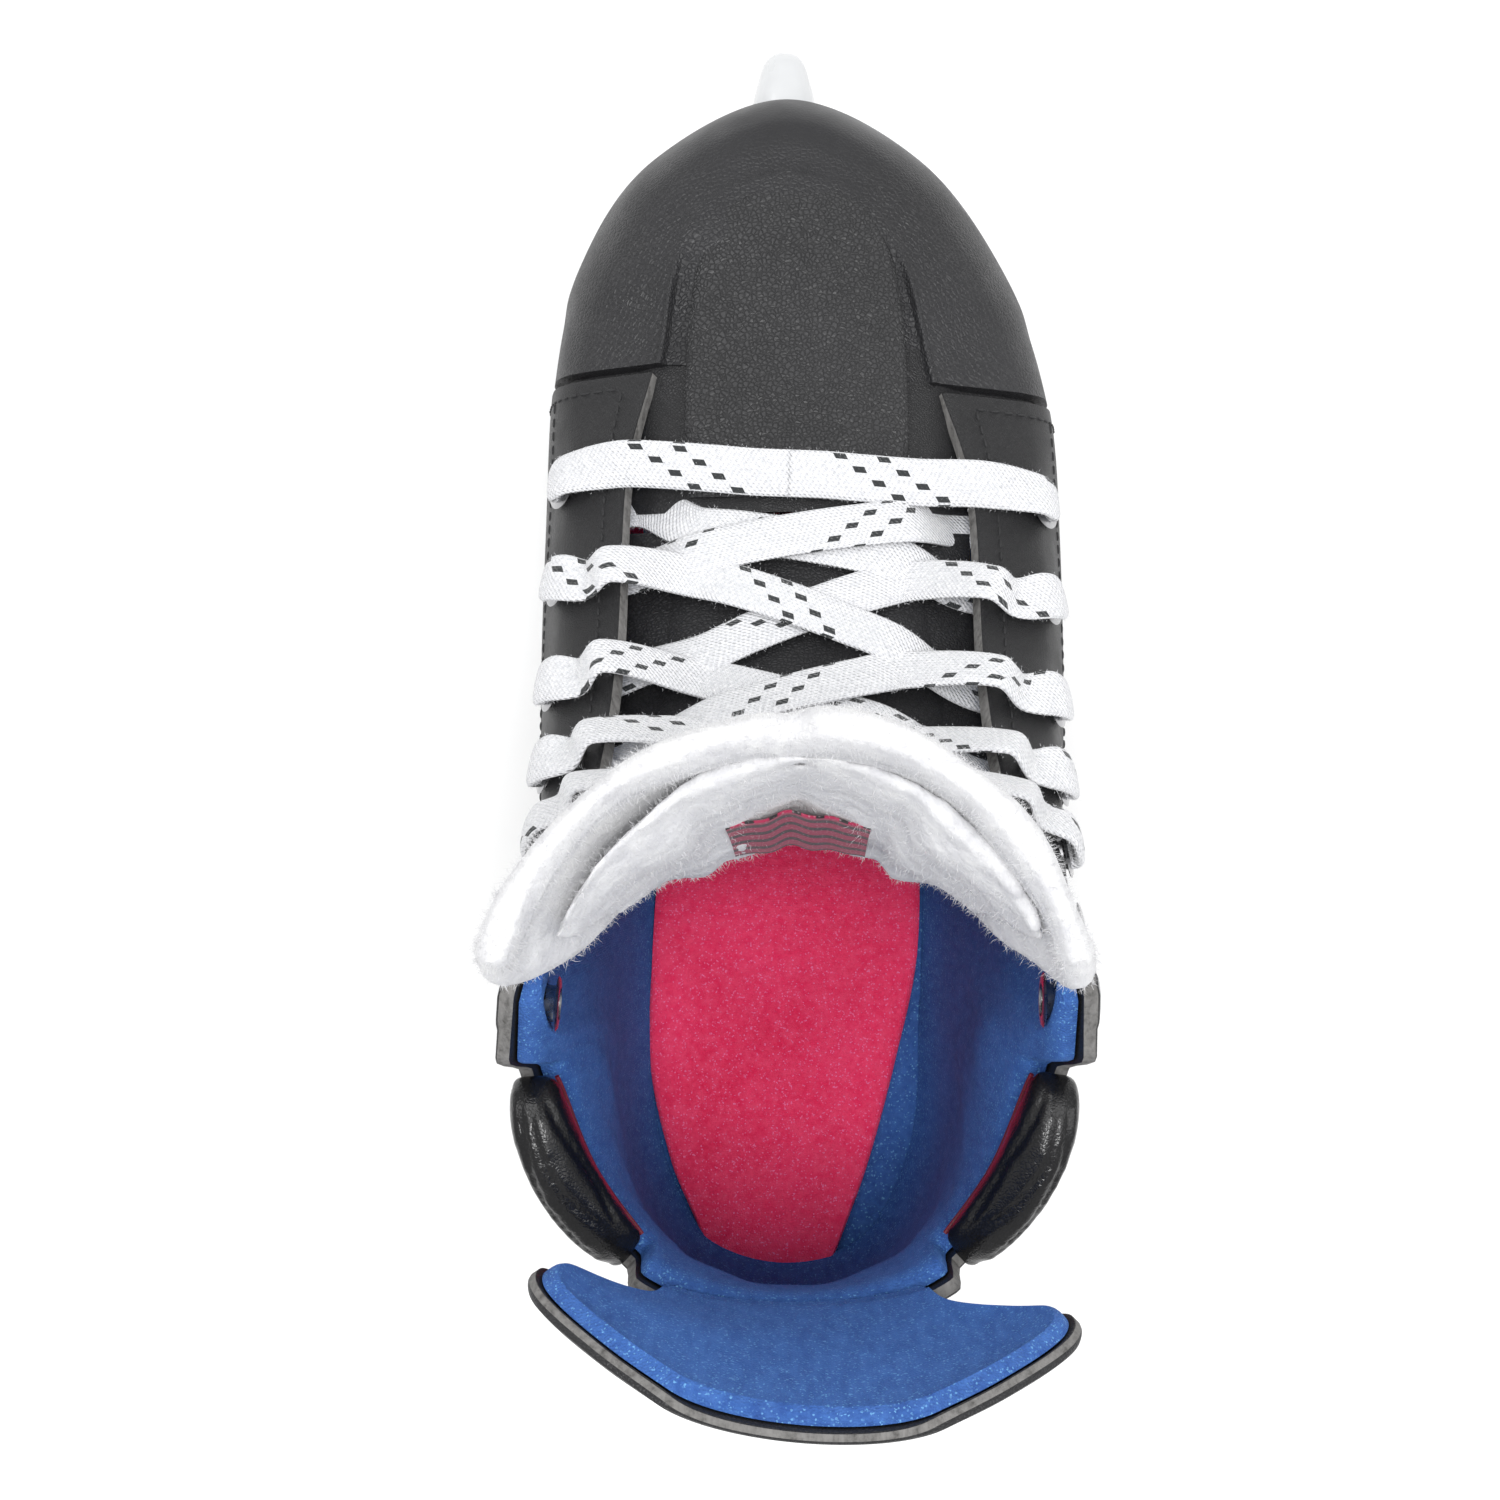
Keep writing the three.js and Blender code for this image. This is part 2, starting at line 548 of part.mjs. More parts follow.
part(
  "tongue_felt_lower",
  "felt",
  tongueLayer(flat(feltFrom), (s, q) => feltFrom + feltDepth(s) * rounded(q), 0, tongueBreak - breakGap, 7, flat(1)),
);
part("tongue_shell_upper", "black", tongueLayer(flat(0), flat(tongueShell), tongueBreak + breakGap, 7.2, 6, flat(0.93)));
part(
  "tongue_felt_upper",
  "felt",
  tongueLayer(flat(feltFrom), (s, q) => feltFrom + feltDepth(s) * rounded(q), tongueBreak + breakGap, 8.9, 8, flat(1)),
);
// The softer inner pad on the flap, and the size label sewn to it.
const padFrom = feltFrom + tongueFelt + clearance;
const padDepth = 3.4;
part(
  "tongue_pad",
  "felt",
  tongueLayer(flat(padFrom), (s, q) => padFrom + padDepth * rounded(q), tongueBreak + 0.7, 8.35, 5, flat(0.86)),
);
part(
  "tongue_label",
  "red",
  tongueLayer(flat(padFrom + padDepth + clearance), flat(padFrom + padDepth + clearance + 0.6), 5.9, 6.8, 1, flat(0.3)),
);

// ---------------------------------------------------------------- laces
// A ribbon lofted through stations, each with its place, the direction of its width, and its two sizes.
function ribbon(stops) {
  const rings = stops.map(({ p, wide, w, t }, i) => {
    const tangent = unit(add(stops[Math.min(i + 1, stops.length - 1)].p, stops[Math.max(i - 1, 0)].p, -1));
    const thick = unit(cross(wide, tangent));
    const across = unit(cross(tangent, thick));
    const [a, b] = [w / 2, t / 2];
    return [[a, 0], [a * 0.85, b], [-a * 0.85, b], [-a, 0], [-a * 0.85, -b], [a * 0.85, -b]].map(
      ([x, y]) => add(add(p, across, x), thick, y),
    );
  });
  return loft(rings);
}
const laceGap = clearance + laceThickness / 2;
const laceTop = outerRelief + flangeThickness + laceGap; // the lace's middle above an eyelet
const laceBottom = -facingDepth - innerRelief - flangeThickness - laceGap; // and below it
const eyeletAt = (side, row) => eyelets.find((e) => e.side === side && e.row === row);
const toToe = (d) => (d[1] - 0.6 * d[2] < 0 ? d.map((v) => -v) : d);
// The stops where the lace turns from the strand towards a target into the eyelet's bore.
function turnIn(e, target, top) {
  const d = add(target, e.centre, -1);
  const out = unit(add(d, e.normal, -dot(d, e.normal)));
  const wide = toToe(unit(cross(out, e.normal)));
  const height = top ? laceTop : laceBottom;
  const at = (along, sink) => add(add(e.centre, out, along), e.normal, height - (top ? sink : -sink));
  return [
    { p: at(5.4, 0), wide, w: laceWidth, t: laceThickness },
    { p: at(2, -0.15), wide, w: 5.2, t: 1.9 },
    { p: at(0, 0.9), wide, w: 3.4, t: 2.8 },
  ];
}
const inBore = (e, wide) => ({ p: add(e.centre, e.normal, (e.top + e.bottom) / 2), wide, w: 3.6, t: 3.1 });
// A stop over the tongue's face, at station s.
function overTongue(x, s, height) {
  const [middle, , , half] = tongueCurve(s);
  const q = clamp(Math.asin(clamp(((x - middle) / half) * Math.sin(wingSweep), -1, 1)) / wingSweep, -0.9, 0.9);
  return { p: tongueAt(-height)(s, q), up: tongueNormal(s, q) };
}
const strandReach = [0, 28.5, 28.3, 25.5, 22.2, 17.8]; // how far it stays on the tongue's face
const tongueRow = [0, 0.02, 0.7, 1.95, 2.9, 4.2]; // the tongue's station beside each row of eyelets
const overstep = laceThickness + 0.75; // the upper strand's extra height where two cross
// A strand from one eyelet to another; each end lies over its facing (top) or under it.
function strand(a, aTop, b, bTop, over) {
  const stationOf = (e, other) => mix(rowStation(e.row), rowStation(other.row), 0.14);
  const slack = (v) => (v === 1 ? 1.5 : 0);
  const onFacing = (e, other, top, v) => ({
    p: offset(e.side, stationOf(e, other), v, top ? laceGap + 1.1 + slack(v) : -facingDepth - laceGap - 1.3 - slack(v)),
    up: formNormal(e.side, stationOf(e, other), v),
  });
  const middle = (k) => {
    const height = laceGap + 1.1 + (over && k > 0.1 && k < 0.9 ? overstep : 0);
    const x = mix(a.side * strandReach[a.row], b.side * strandReach[b.row], k) + tongueRows[1][0];
    return overTongue(x, mix(tongueRow[a.row], tongueRow[b.row], k), height);
  };
  const line = [
    onFacing(a, b, aTop, 0.91),
    onFacing(a, b, aTop, 1),
    ...[0.14, 0.3, 0.5, 0.7, 0.86].map(middle),
    onFacing(b, a, bTop, 1),
    onFacing(b, a, bTop, 0.91),
  ];
  return line.map(({ p, up }, i) => {
    const tangent = unit(add(line[Math.min(i + 1, line.length - 1)].p, line[Math.max(i - 1, 0)].p, -1));
    return { p, wide: toToe(unit(cross(tangent, up))), w: laceWidth, t: laceThickness };
  });
}
// The free ends' places in the boot: two flat coils of ribbon on edge, one on the other, under the vamp.
const coilPlace = [1.6, 72];
const coilRadius = { inner: 21, outer: 32 };
const coils = {
  lateral: {
    level: insoleTopAt + 2 * clearance + laceWidth / 2,
    route: [[35.4, -23, 143], [34.2, -21, 126], [33.4, -12, 106], [33.2, 4, 88], [33, 22, 75.5], [32.7, 41, 70], [32.1, 59.3, 68.7]],
  },
  medial: {
    level: insoleTopAt + 3 * clearance + laceWidth * 1.5,
    route: [[-32.6, -23, 143], [-31.2, -21, 126], [-30.4, -12, 107], [-29.9, 4, 92], [-29.5, 22, 83], [-29.2, 41, 79.4], [-28.9, 59.3, 78.5]],
  },
};
for (const [name, side] of sides) {
  const route = [1, 2, 3, 4, 5].map((row) => eyeletAt(row % 2 ? side : -side, row));
  const over = side > 0;
  const [first] = route;
  const barEdge = offset(side, rowStation(1), 1, laceGap + 1.9);
  const barY = barEdge[1];
  const bar = [0.3, side * 14, side * 26].map((x, i) => [x, barY, mix(vampTop(barY) + laceGap + 0.9, barEdge[2], [0, 0.1, 0.35][i])]);
  const stops = [
    ...bar.map((p, i) => ({ p: i ? p : [side * 0.2, p[1], p[2]], wide: [0, 1, 0], w: laceWidth, t: laceThickness })),
    { p: barEdge, wide: toToe([0, 1, 0]), w: laceWidth, t: laceThickness },
    ...turnIn(first, barEdge, true).slice(0, 3),
  ];
  route.forEach((e, i) => {
    const next = route[i + 1];
    const goesUp = i > 0 && i < lacedRows - 1;
    stops.push(inBore(e, stops.at(-1).wide));
    if (!next) return;
    const nextTop = i + 1 === lacedRows - 1;
    const run = strand(e, goesUp, next, nextTop, over);
    stops.push(...turnIn(e, run[0].p, goesUp).reverse(), ...run, ...turnIn(next, run.at(-1).p, nextTop));
  });
  const last = route.at(-1);
  const exit = add(last.centre, last.normal, last.bottom - 1);
  stops.push({ p: exit, wide: stops.at(-1).wide, w: 3.6, t: 3 });
  part(`lace_${name}`, "lace", ribbon(stops));

  // The free end goes down inside the boot to a coil that lies on the insole in the toe.
  const coil = coils[name];
  const end = [...[clearance, 3.5].map((d) => add(exit, last.normal, -d)), ...coil.route].map((p, i, all) => {
    const tangent = unit(add(all[Math.min(i + 1, all.length - 1)], all[Math.max(i - 1, 0)], -1));
    return { p, wide: unit(cross([1, 0, 0], tangent)), w: [3.6, 5][i] ?? laceWidth, t: [3, 2.4][i] ?? laceThickness };
  });
  part(`lace_end_${name}`, "lace", ribbon(end));
  const [inner, outer] = [coilRadius.inner, coilRadius.outer];
  const ring = [[inner, -laceWidth / 2], [outer, -laceWidth / 2], [outer, laceWidth / 2], [inner, laceWidth / 2]];
  part(`lace_coil_${name}`, "lace", turned(ring, 20, [...coilPlace, coil.level], [0, 0, 1]));
  const tip = [112, 168].map((deg) => {
    const a = THREE.MathUtils.degToRad(deg);
    const r = coilRadius.inner - agletDiameter / 2 - 2 * clearance;
    return [coilPlace[0] + side * r * Math.cos(a), coilPlace[1] + r * Math.sin(a), coil.level];
  });
  part(`aglet_${name}`, "aglet", rod(agletDiameter / 2, tip[0], tip[1], 10));
}

// ---------------------------------------------------------------- tendon guard
// [height above its seam, y of the middle, half width, depth of the wings], bottom to top.
const guardSeam = form(1, 0, 1);
const guardGap = 0.9;
const guardTwist = THREE.MathUtils.degToRad(-5); // the flap sits turned towards the outer side
const guardRows = [
  [0, 0, 25.5, 4.4], [0.16, -0.4, 28.5, 5], [0.34, -1, 38, 9.5], [0.5, -1.8, 44, 13.5], [0.68, -2.8, 43, 12.5], [0.86, -4, 33, 8.5], [1, -5, 21, 4],
];
const guardCurve = through(guardRows.map((r) => r[0]), guardRows.map((r) => r.slice(1)));
const guardSweep = THREE.MathUtils.degToRad(70);
function guardFace(s, q) {
  const [y, half, depth] = guardCurve(s);
  const x = (half * Math.sin(q * guardSweep)) / Math.sin(guardSweep);
  const forward = (depth * (1 - Math.cos(q * guardSweep))) / (1 - Math.cos(guardSweep));
  const turn = guardTwist * smooth(s / 0.5);
  const local = [x * stretch.x, (y + forward) * stretch.y];
  return [
    local[0] * Math.cos(turn) - local[1] * Math.sin(turn),
    guardSeam[1] + local[0] * Math.sin(turn) + local[1] * Math.cos(turn),
    guardSeam[2] + guardGap + s * guardHeight,
  ];
}
const guardAt = (depth) => (s, q) => {
  const step = 0.02;
  const along = add(guardFace(Math.min(s + step, 1), q), guardFace(Math.max(s - step, 0), q), -1);
  const acrossIt = add(guardFace(s, q + step), guardFace(s, q - step), -1);
  return add(guardFace(s, q), unit(cross(acrossIt, along)), -depth);
};
part("tendon_guard", "black", shell(guardAt(0), guardAt(guardThickness), range(0, 1, 8), range(-1, 1, 10)));
part(
  "tendon_guard_lining",
  "blue",
  shell(
    (s, q) => guardAt(guardThickness + clearance)(s, q * 0.965),
    (s, q) => guardAt(guardThickness + clearance + guardLining)(s, q * 0.965),
    range(0.01, 0.975, 8),
    range(-1, 1, 10),
  ),
);

// ---------------------------------------------------------------- holder, runner and their fasteners
const half = railWidth / 2;
const railStations = [
  // y, bottom, top, half width
  [-141, 26, 31, 1.4], [-138, 20, 33, 3], [-131, 14.4, 33.5, half - 0.4], [-120, 12.5, 33, half], [-95, 12.5, 30.5, half],
  [-30, 12.5, 29, half], [20, 12.5, 29, half], [60, 12.5, 31, half + 0.3], [105, 12.5, 38, 5.6], [130, 13.4, 43, 6.8],
  [145, 16, 42.5, 7.2], [151.5, 20.5, 40.5, 5.8], [155.3, 26, 38.5, 4.4], [157.3, 30.5, 36, 2.2],
].map(([y, bottom, top, w]) => [y * stretch.y, bottom, top, w]);
const railBody = loft(
  railStations.map(([y, bottom, top, w]) =>
    oval(w, (top - bottom) / 2, 3.2, 12).map(([x, z]) => [x, y, (top + bottom) / 2 + z]),
  ),
);
const pillarSections = (rows) =>
  loft(
    rows.map(([z, from, to, w, power]) =>
      oval(w, ((to - from) / 2) * stretch.y, power, 16).map(([x, y]) => [x, ((from + to) / 2) * stretch.y + y, z]),
    ),
  );
const plateThickness = 3.4;
const plateGap = clearance;
const frontTop = holderHeight - plateGap;
const rearTop = holderHeight + heelLift - plateGap;
const frontPillar = pillarSections([
  [24, 30, 136, half - 0.2, 2.6], [32, 33, 134, 5.6, 2.6], [38, 31, 128, 9, 2.6], [43, 26, 118, 15, 2.6], [frontTop - 1, 20, 108, 24, 2.6],
]);
const rearPillar = pillarSections([
  [24, -124, -38, half - 0.2, 2.6], [34, -120, -44, 5.4, 2.6], [44, -115, -50, 8.5, 2.6], [52, -112, -52, 13, 2.6], [rearTop - 1, -111, -51, 19, 2.6],
]);
const topPlate = ({ from, to, half: w }, top) =>
  pillarSections([[top - plateThickness, from, to, w * stretch.x, 2.8], [top, from, to, w * stretch.x, 2.8]]);
// The runner's outline in the y-z plane: flat under the foot, rising at both ends.
const runnerOutline = [
  [-46, 0], [56, 0], [92, 0.7], [118, 2.6], [134, 6.4], [144.5, 12.4], [150, 19.5], [151, 23.5],
  [146, runnerHeight], [-126, runnerHeight], [-132, 22], [-135.5, 16], [-134, 8.5], [-126, 3.6], [-108, 1.2], [-80, 0.3],
];
const lug = { half: 6, height: 8 };
const slab = (points, thickness) => {
  const shape = new THREE.Shape(points.map((p) => new THREE.Vector2(...p)));
  const g = new THREE.ExtrudeGeometry(shape, { depth: thickness, bevelEnabled: false });
  // Shape x is the boot's y, and shape y its z.
  return g.applyMatrix4(new THREE.Matrix4().set(0, 0, 1, -thickness / 2, 1, 0, 0, 0, 0, 1, 0, 0, 0, 0, 0, 1));
};
const runnerPoints = runnerOutline.map(([y, z]) => [y * stretch.y, z]);
const lugBlock = (y, grow, thickness) =>
  slab(
    [
      [y - lug.half - grow, runnerHeight - 3], [y + lug.half + grow, runnerHeight - 3],
      [y + lug.half + grow, runnerHeight + lug.height + grow], [y - lug.half - grow, runnerHeight + lug.height + grow],
    ],
    thickness,
  );
const runner = join([slab(runnerPoints, runnerThickness), ...postPlaces.map(([, y]) => lugBlock(y, 0, runnerThickness))]);
part("runner", "steel", runner);
// The slot takes the runner's own outline, grown by the clearance at its top and ends.
const slotPoints = runnerPoints.map(([y, z]) => [y + Math.sign(y) * (Math.abs(y) > 100 ? clearance : 0), z + (z > 12 ? clearance : -1)]);
const slotWidth = runnerThickness + 2 * clearance;
const slot = [slab(slotPoints, slotWidth), ...postPlaces.map(([, y]) => lugBlock(y, clearance, slotWidth))];
const postBore = postPlaces.map(([, y]) => rod((postDiameter / 2 + clearance) / Math.cos(Math.PI / 12), [0, y, runnerHeight - 1], [0, y, 90], 12));
const rivetBore = rivetPlaces.map(([x, y]) => drill(x, y, rivetDiameter / 2 + clearance));
const headPocket = rivetPlaces.map(([x, y]) => rod(rivetHead / 2 + 0.8, [x, y, 30], [x, y, underSole(y) - plateGap - plateThickness], 8));
part(
  "holder",
  "white",
  cut(join([railBody, frontPillar, rearPillar, topPlate(frontPlate, frontTop), topPlate(rearPlate, rearTop)]), [
    ...slot,
    ...postBore,
    ...rivetBore,
    ...headPocket,
  ]),
);
rivetPlaces.forEach(([x, y], i) => {
  const bottom = underSole(y) - plateGap - plateThickness - clearance;
  const top = boardTopAt(y) + clearance;
  const [shank, head] = [rivetDiameter / 2, rivetHead / 2];
  part(
    `rivet_${i + 1}`,
    "nickel",
    turned(
      [[0, bottom - 1.6], [head, bottom - 0.6], [head, bottom], [shank, bottom], [shank, top], [head * 0.9, top], [0, top + 0.9]],
      8,
      [x, y, 0],
      [0, 0, 1],
    ),
  );
});
const studRadius = 2.5;
const nutBore = (studRadius + clearance) / Math.cos(Math.PI / 6);
for (const [name, y] of postPlaces) {
  const foot = runnerHeight + 1;
  const top = boardTopAt(y) + clearance + nutHeight;
  const fork = slab(
    [[y - 8, 0], [y + 8, 0], [y + 8, runnerHeight + lug.height + clearance], [y - 8, runnerHeight + lug.height + clearance]],
    runnerThickness + 2 * clearance,
  );
  part(`runner_post_${name}`, "steel", cut(join([rod(postDiameter / 2, [0, y, foot], [0, y, top - nutHeight - 8], 12), rod(studRadius, [0, y, top - nutHeight - 9], [0, y, top], 10)]), [fork]));
  const nut = turned(
    [[nutBore, 0], [nutWidth / 2, 0], [nutWidth / 2, nutHeight - 0.3], [nutBore, nutHeight - 0.3]],
    6,
    [0, y, boardTopAt(y) + clearance],
    [0, 0, 1],
  );
  part(`runner_nut_${name}`, "nickel", nut);
}

export default group;
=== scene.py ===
# An ice hockey skate, seen from straight above. Functions work in millimetres, in the frame's axes.
import math

import bmesh
import bpy
import numpy as np
from mathutils import Matrix, Vector
from mathutils.kdtree import KDTree


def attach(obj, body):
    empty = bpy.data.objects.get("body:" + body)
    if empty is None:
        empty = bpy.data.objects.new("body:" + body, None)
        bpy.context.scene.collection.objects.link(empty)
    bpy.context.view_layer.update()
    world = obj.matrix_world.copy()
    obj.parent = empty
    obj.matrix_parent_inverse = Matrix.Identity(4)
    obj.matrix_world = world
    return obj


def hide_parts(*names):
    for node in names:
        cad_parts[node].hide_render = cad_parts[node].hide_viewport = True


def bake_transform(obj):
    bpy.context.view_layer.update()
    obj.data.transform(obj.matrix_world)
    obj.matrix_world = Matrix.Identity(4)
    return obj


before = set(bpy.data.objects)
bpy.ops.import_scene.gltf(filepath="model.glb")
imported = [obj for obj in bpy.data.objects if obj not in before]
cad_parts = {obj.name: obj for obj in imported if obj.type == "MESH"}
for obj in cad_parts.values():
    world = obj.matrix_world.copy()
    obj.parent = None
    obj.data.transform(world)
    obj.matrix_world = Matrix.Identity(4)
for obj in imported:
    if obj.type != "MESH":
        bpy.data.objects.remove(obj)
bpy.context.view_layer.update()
scene = bpy.context.scene
MM = 0.001


def linked(name, data):
    """A new object in the scene."""
    obj = bpy.data.objects.new(name, data)
    scene.collection.objects.link(obj)
    return obj


# ---------------------------------------------------------------- camera
camera = linked("camera", bpy.data.cameras.new("camera"))
camera.location = (-0.0077, 0, 0.65)
camera.data.lens = 65.4
camera.data.sensor_width = 36
scene.camera = camera

# ---------------------------------------------------------------- sizes, as in the CAD
heel_lift = 10
sole_z = 54.95
quarter_thickness = 2.6
liner_thickness = 3.4
cap_thickness = 2.6
panel_thickness = 1.3
clearance = 0.35
eyelet_hole = 5.2
eyelet_flange = 9.4
lace_width = 9.4
lace_thickness = 1.6
tongue_shell = 1.6
tongue_felt = 6
facing_depth = 5.15
outer_relief = 0.9
inner_relief = 2.4
flange_thickness = 0.7
heel_seam = 0.006
quarter_front = 7.86
last_station = 11


# ---------------------------------------------------------------- curves and forms
def smooth(k):
    k = np.clip(k, 0, 1)
    return k * k * (3 - 2 * k)


def unit(a):
    return a / np.maximum(np.linalg.norm(a, axis=-1, keepdims=True), 1e-9)


def mix(a, b, k):
    return a + (b - a) * k


def round_over(distance, reach):
    """1 at an edge and 0 from reach inwards, on a quarter circle."""
    return 1 - np.sqrt(np.clip(distance / reach, 0, 1))


def two_sided(limit, start, count):
    """Stations from -limit to limit, with one at 0."""
    return np.concatenate([-np.linspace(limit, start, count), [0], np.linspace(start, limit, count)])


def dense_edges(edge, inner, count, few):
    """Stations from -1 to 1, closer together beyond edge."""
    return np.concatenate([
        -np.linspace(1, edge, few), np.linspace(-inner, inner, count), np.linspace(edge, 1, few),
    ])


def through(knots, points, t):
    """A smooth curve through points that stand at rising knots, read at every t."""
    knots = np.asarray(knots, float)
    points = np.asarray(points, float)
    t = np.atleast_1d(np.asarray(t, float))
    last = len(knots) - 1
    before = np.maximum(np.arange(last + 1) - 1, 0)
    after = np.minimum(np.arange(last + 1) + 1, last)
    reach = (knots[after] - knots[before]).reshape((-1,) + (1,) * (points.ndim - 1))
    slopes = (points[after] - points[before]) / reach
    i = np.clip(np.searchsorted(knots, t) - 1, 0, last - 1)
    rows = (lambda a, j: a[j]) if points.ndim == 2 else (lambda a, j: a[j, np.arange(len(t))])
    width = (knots[i + 1] - knots[i])[:, None]
    k = (t - knots[i])[:, None] / width
    return (
        (2 * k**3 - 3 * k**2 + 1) * rows(points, i)
        + (k**3 - 2 * k**2 + k) * width * rows(slopes, i)
        + (3 * k**2 - 2 * k**3) * rows(points, i + 1)
        + (k**3 - k**2) * width * rows(slopes, i + 1)
    )


def graph(pairs, t):
    """The same for one number at each place, held at its ends."""
    knots = [p[0] for p in pairs]
    return through(knots, [[p[1]] for p in pairs], np.clip(t, knots[0], knots[-1]))[:, 0]


rails = [
    [[0, -112, 0], [20, -105, 0], [31, -84, 0], [33, -55, 0], [33, -31, 0], [34.5, -8, 0], [40, 20, 0],
     [46, 50, 0], [45, 76, 0], [38.5, 100, 0], [23.5, 119, 1.5], [0, 129, 3.5]],
    [[0, -119, 19], [23.5, -110.5, 19], [36.5, -86, 18.5], [38.5, -55, 17], [40, -33, 17], [43, -11, 16],
     [50.5, 17, 14], [54.5, 50, 11], [53, 77, 10.5], [45, 101.5, 10.5], [27.5, 124, 11.5], [0, 136, 13]],
    [[0, -115.5, 53], [24, -106.5, 53], [38.5, -83, 53], [43, -55, 54], [46, -38, 54], [50, -16, 46],
     [55.5, 13, 35], [56.7, 51, 25], [54.5, 78, 22], [45.5, 101.5, 21.5], [27.5, 123.5, 22], [0, 136, 23]],
    [[0, -104, 90], [22, -97.5, 90], [38.5, -79.5, 90], [46, -55, 94], [49.5, -44, 125.3], [48.5, -19, 99],
     [50, 10.5, 73], [50.5, 52.5, 48], [48.5, 78, 38], [39, 100, 35], [23.5, 119, 34.5], [0, 129.5, 34.5]],
    [[0, -99.5, 121], [24.5, -95, 119], [42, -79, 119], [50.5, -55, 127], [48, -31, 137], [39.5, -11, 108],
     [36.8, 17, 80.5], [36.5, 55, 55], [30, 79, 46], [24.5, 100, 43], [15, 112, 41.5], [0, 118, 40]],
]
rail_knots = np.arange(-1, last_station + 2)
rail_heights = [0, 0.17, 0.43, 0.78, 1]
looped_rails = [
    [[-r[1][0], *r[1][1:]], *r, [-r[last_station - 1][0], *r[last_station - 1][1:]]] for r in rails
]
medial_share = [
    [0, 1], [3, 1], [4, 0.97], [5, 0.93], [6, 0.9], [7, 0.88], [8, 0.89], [9, 0.94], [10, 1], [11, 1],
]
lateral_setback = [[0, 0], [4, 0], [6, 3], [7, 4], [8, 4], [9, 2], [10, 0], [11, 0]]


def lift(y):
    return heel_lift * smooth((12 - y) / 60)


def bridged(surface, steps):
    """Where the collar climbs steeply, the surface runs straight from one station to the next."""
    def at(side, t, v):
        side, t, v = (a.ravel().astype(float) for a in np.broadcast_arrays(side, t, v))
        found = surface(side, t, v)
        for step in steps:
            on = (t > step[0]) & (t < step[1])
            if on.any():
                k = ((t[on] - step[0]) / (step[1] - step[0]))[:, None]
                ends = [surface(side[on], np.full(on.sum(), stop), v[on]) for stop in step]
                found[on] = mix(*ends, k)
        return found
    return at


def free_form(side, t, v):
    ring = np.array([through(rail_knots, rail, t) for rail in looped_rails])
    p = through(rail_heights, ring, v)
    x = p[:, 0] * np.where(side < 0, graph(medial_share, t), 1)
    y = p[:, 1] - np.where(side > 0, graph(lateral_setback, t), 0)
    return np.stack([side * x, y, sole_z + p[:, 2] + lift(y)], 1)


def free_normal(side, t, v):
    step = 0.02
    along = free_form(side, t + step, v) - free_form(side, t - step, v)
    up = free_form(side, t, np.minimum(v + step, 1)) - free_form(side, t, np.maximum(v - step, 0))
    return unit(np.cross(along, up) * side[:, None])


# Points and normals of the boot's outer form: side is -1 inner and 1 outer, t runs heel to toe, and v runs
# sole to top edge.
form = bridged(free_form, [(3.12, 3.6), (3.6, 4.0)])
form_normal = bridged(free_normal, [(3.12, 4.0)])


def offset(side, t, v, distance):
    distance = np.broadcast_to(distance, np.broadcast(side, t, v).shape).ravel()
    return form(side, t, v) + form_normal(side, t, v) * distance[:, None]


def around(u, v, distance):
    """The same with both sides on one number: negative stations are the inner side's."""
    return offset(np.where(u < 0, -1.0, 1.0), np.abs(u), v, distance)


# ---------------------------------------------------------------- meshes
def arc(points):
    """Distance run along the first axis of a grid of points, averaged over the second."""
    steps = np.linalg.norm(np.diff(points, axis=0), axis=-1).mean(axis=1)
    return np.concatenate([[0], np.cumsum(steps)])


def body(name, grids, paints, sharp=50, weld=0.02):
    """One object from grids of points in mm, each with a paint number; shared edges are welded."""
    verts, faces, uvs, finishes = [], [], [], []
    for grid, paint in grids:
        grid = np.asarray(grid, float)
        n, m = grid.shape[:2]
        base = len(verts)
        along, across = arc(grid), arc(grid.transpose(1, 0, 2))
        verts.extend(grid.reshape(-1, 3) * MM)
        for i in range(n - 1):
            for j in range(m - 1):
                quad = [(i, j), (i + 1, j), (i + 1, j + 1), (i, j + 1)]
                faces.append([base + a * m + b for a, b in quad])
                uvs.extend((along[a], across[b]) for a, b in quad)
                finishes.append(paint)
    mesh = bpy.data.meshes.new(name)
    mesh.from_pydata([tuple(v) for v in verts], [], faces)
    mesh.uv_layers.new(name="run")
    mesh.uv_layers["run"].data.foreach_set("uv", np.array(uvs).ravel())
    mesh.polygons.foreach_set("material_index", finishes)
    for paint in paints:
        mesh.materials.append(paint)
    work = bmesh.new()
    work.from_mesh(mesh)
    bmesh.ops.remove_doubles(work, verts=work.verts, dist=weld * MM)
    bmesh.ops.dissolve_degenerate(work, edges=work.edges, dist=weld * MM / 4)
    bmesh.ops.recalc_face_normals(work, faces=work.faces)
    work.to_mesh(mesh)
    work.free()
    mesh.shade_smooth()
    mesh.set_sharp_from_angle(angle=math.radians(sharp))
    return linked(name, mesh)


def lay(fn, us, vs):
    """A grid of points from a function of two lists."""
    u, v = np.meshgrid(us, vs, indexing="ij")
    return fn(u.ravel(), v.ravel()).reshape(len(us), len(vs), 3)


def shell(name, outer, inner, us, vs, paints, edge=0, lining=0, **more):
    """A plate or shell between two surfaces over the same grid. edge and lining are paint numbers."""
    a, b = lay(outer, us, vs), lay(inner, us, vs)
    rim = [np.stack([a[:, k], mix(a[:, k], b[:, k], 0.5), b[:, k]], 1) for k in (0, -1)]
    ends = [np.stack([a[k], mix(a[k], b[k], 0.5), b[k]], 1) for k in (0, -1)]
    grids = [(a, 0), (b, lining)] + [(g, edge) for g in rim + ends]
    return body(name, grids, paints, **more)


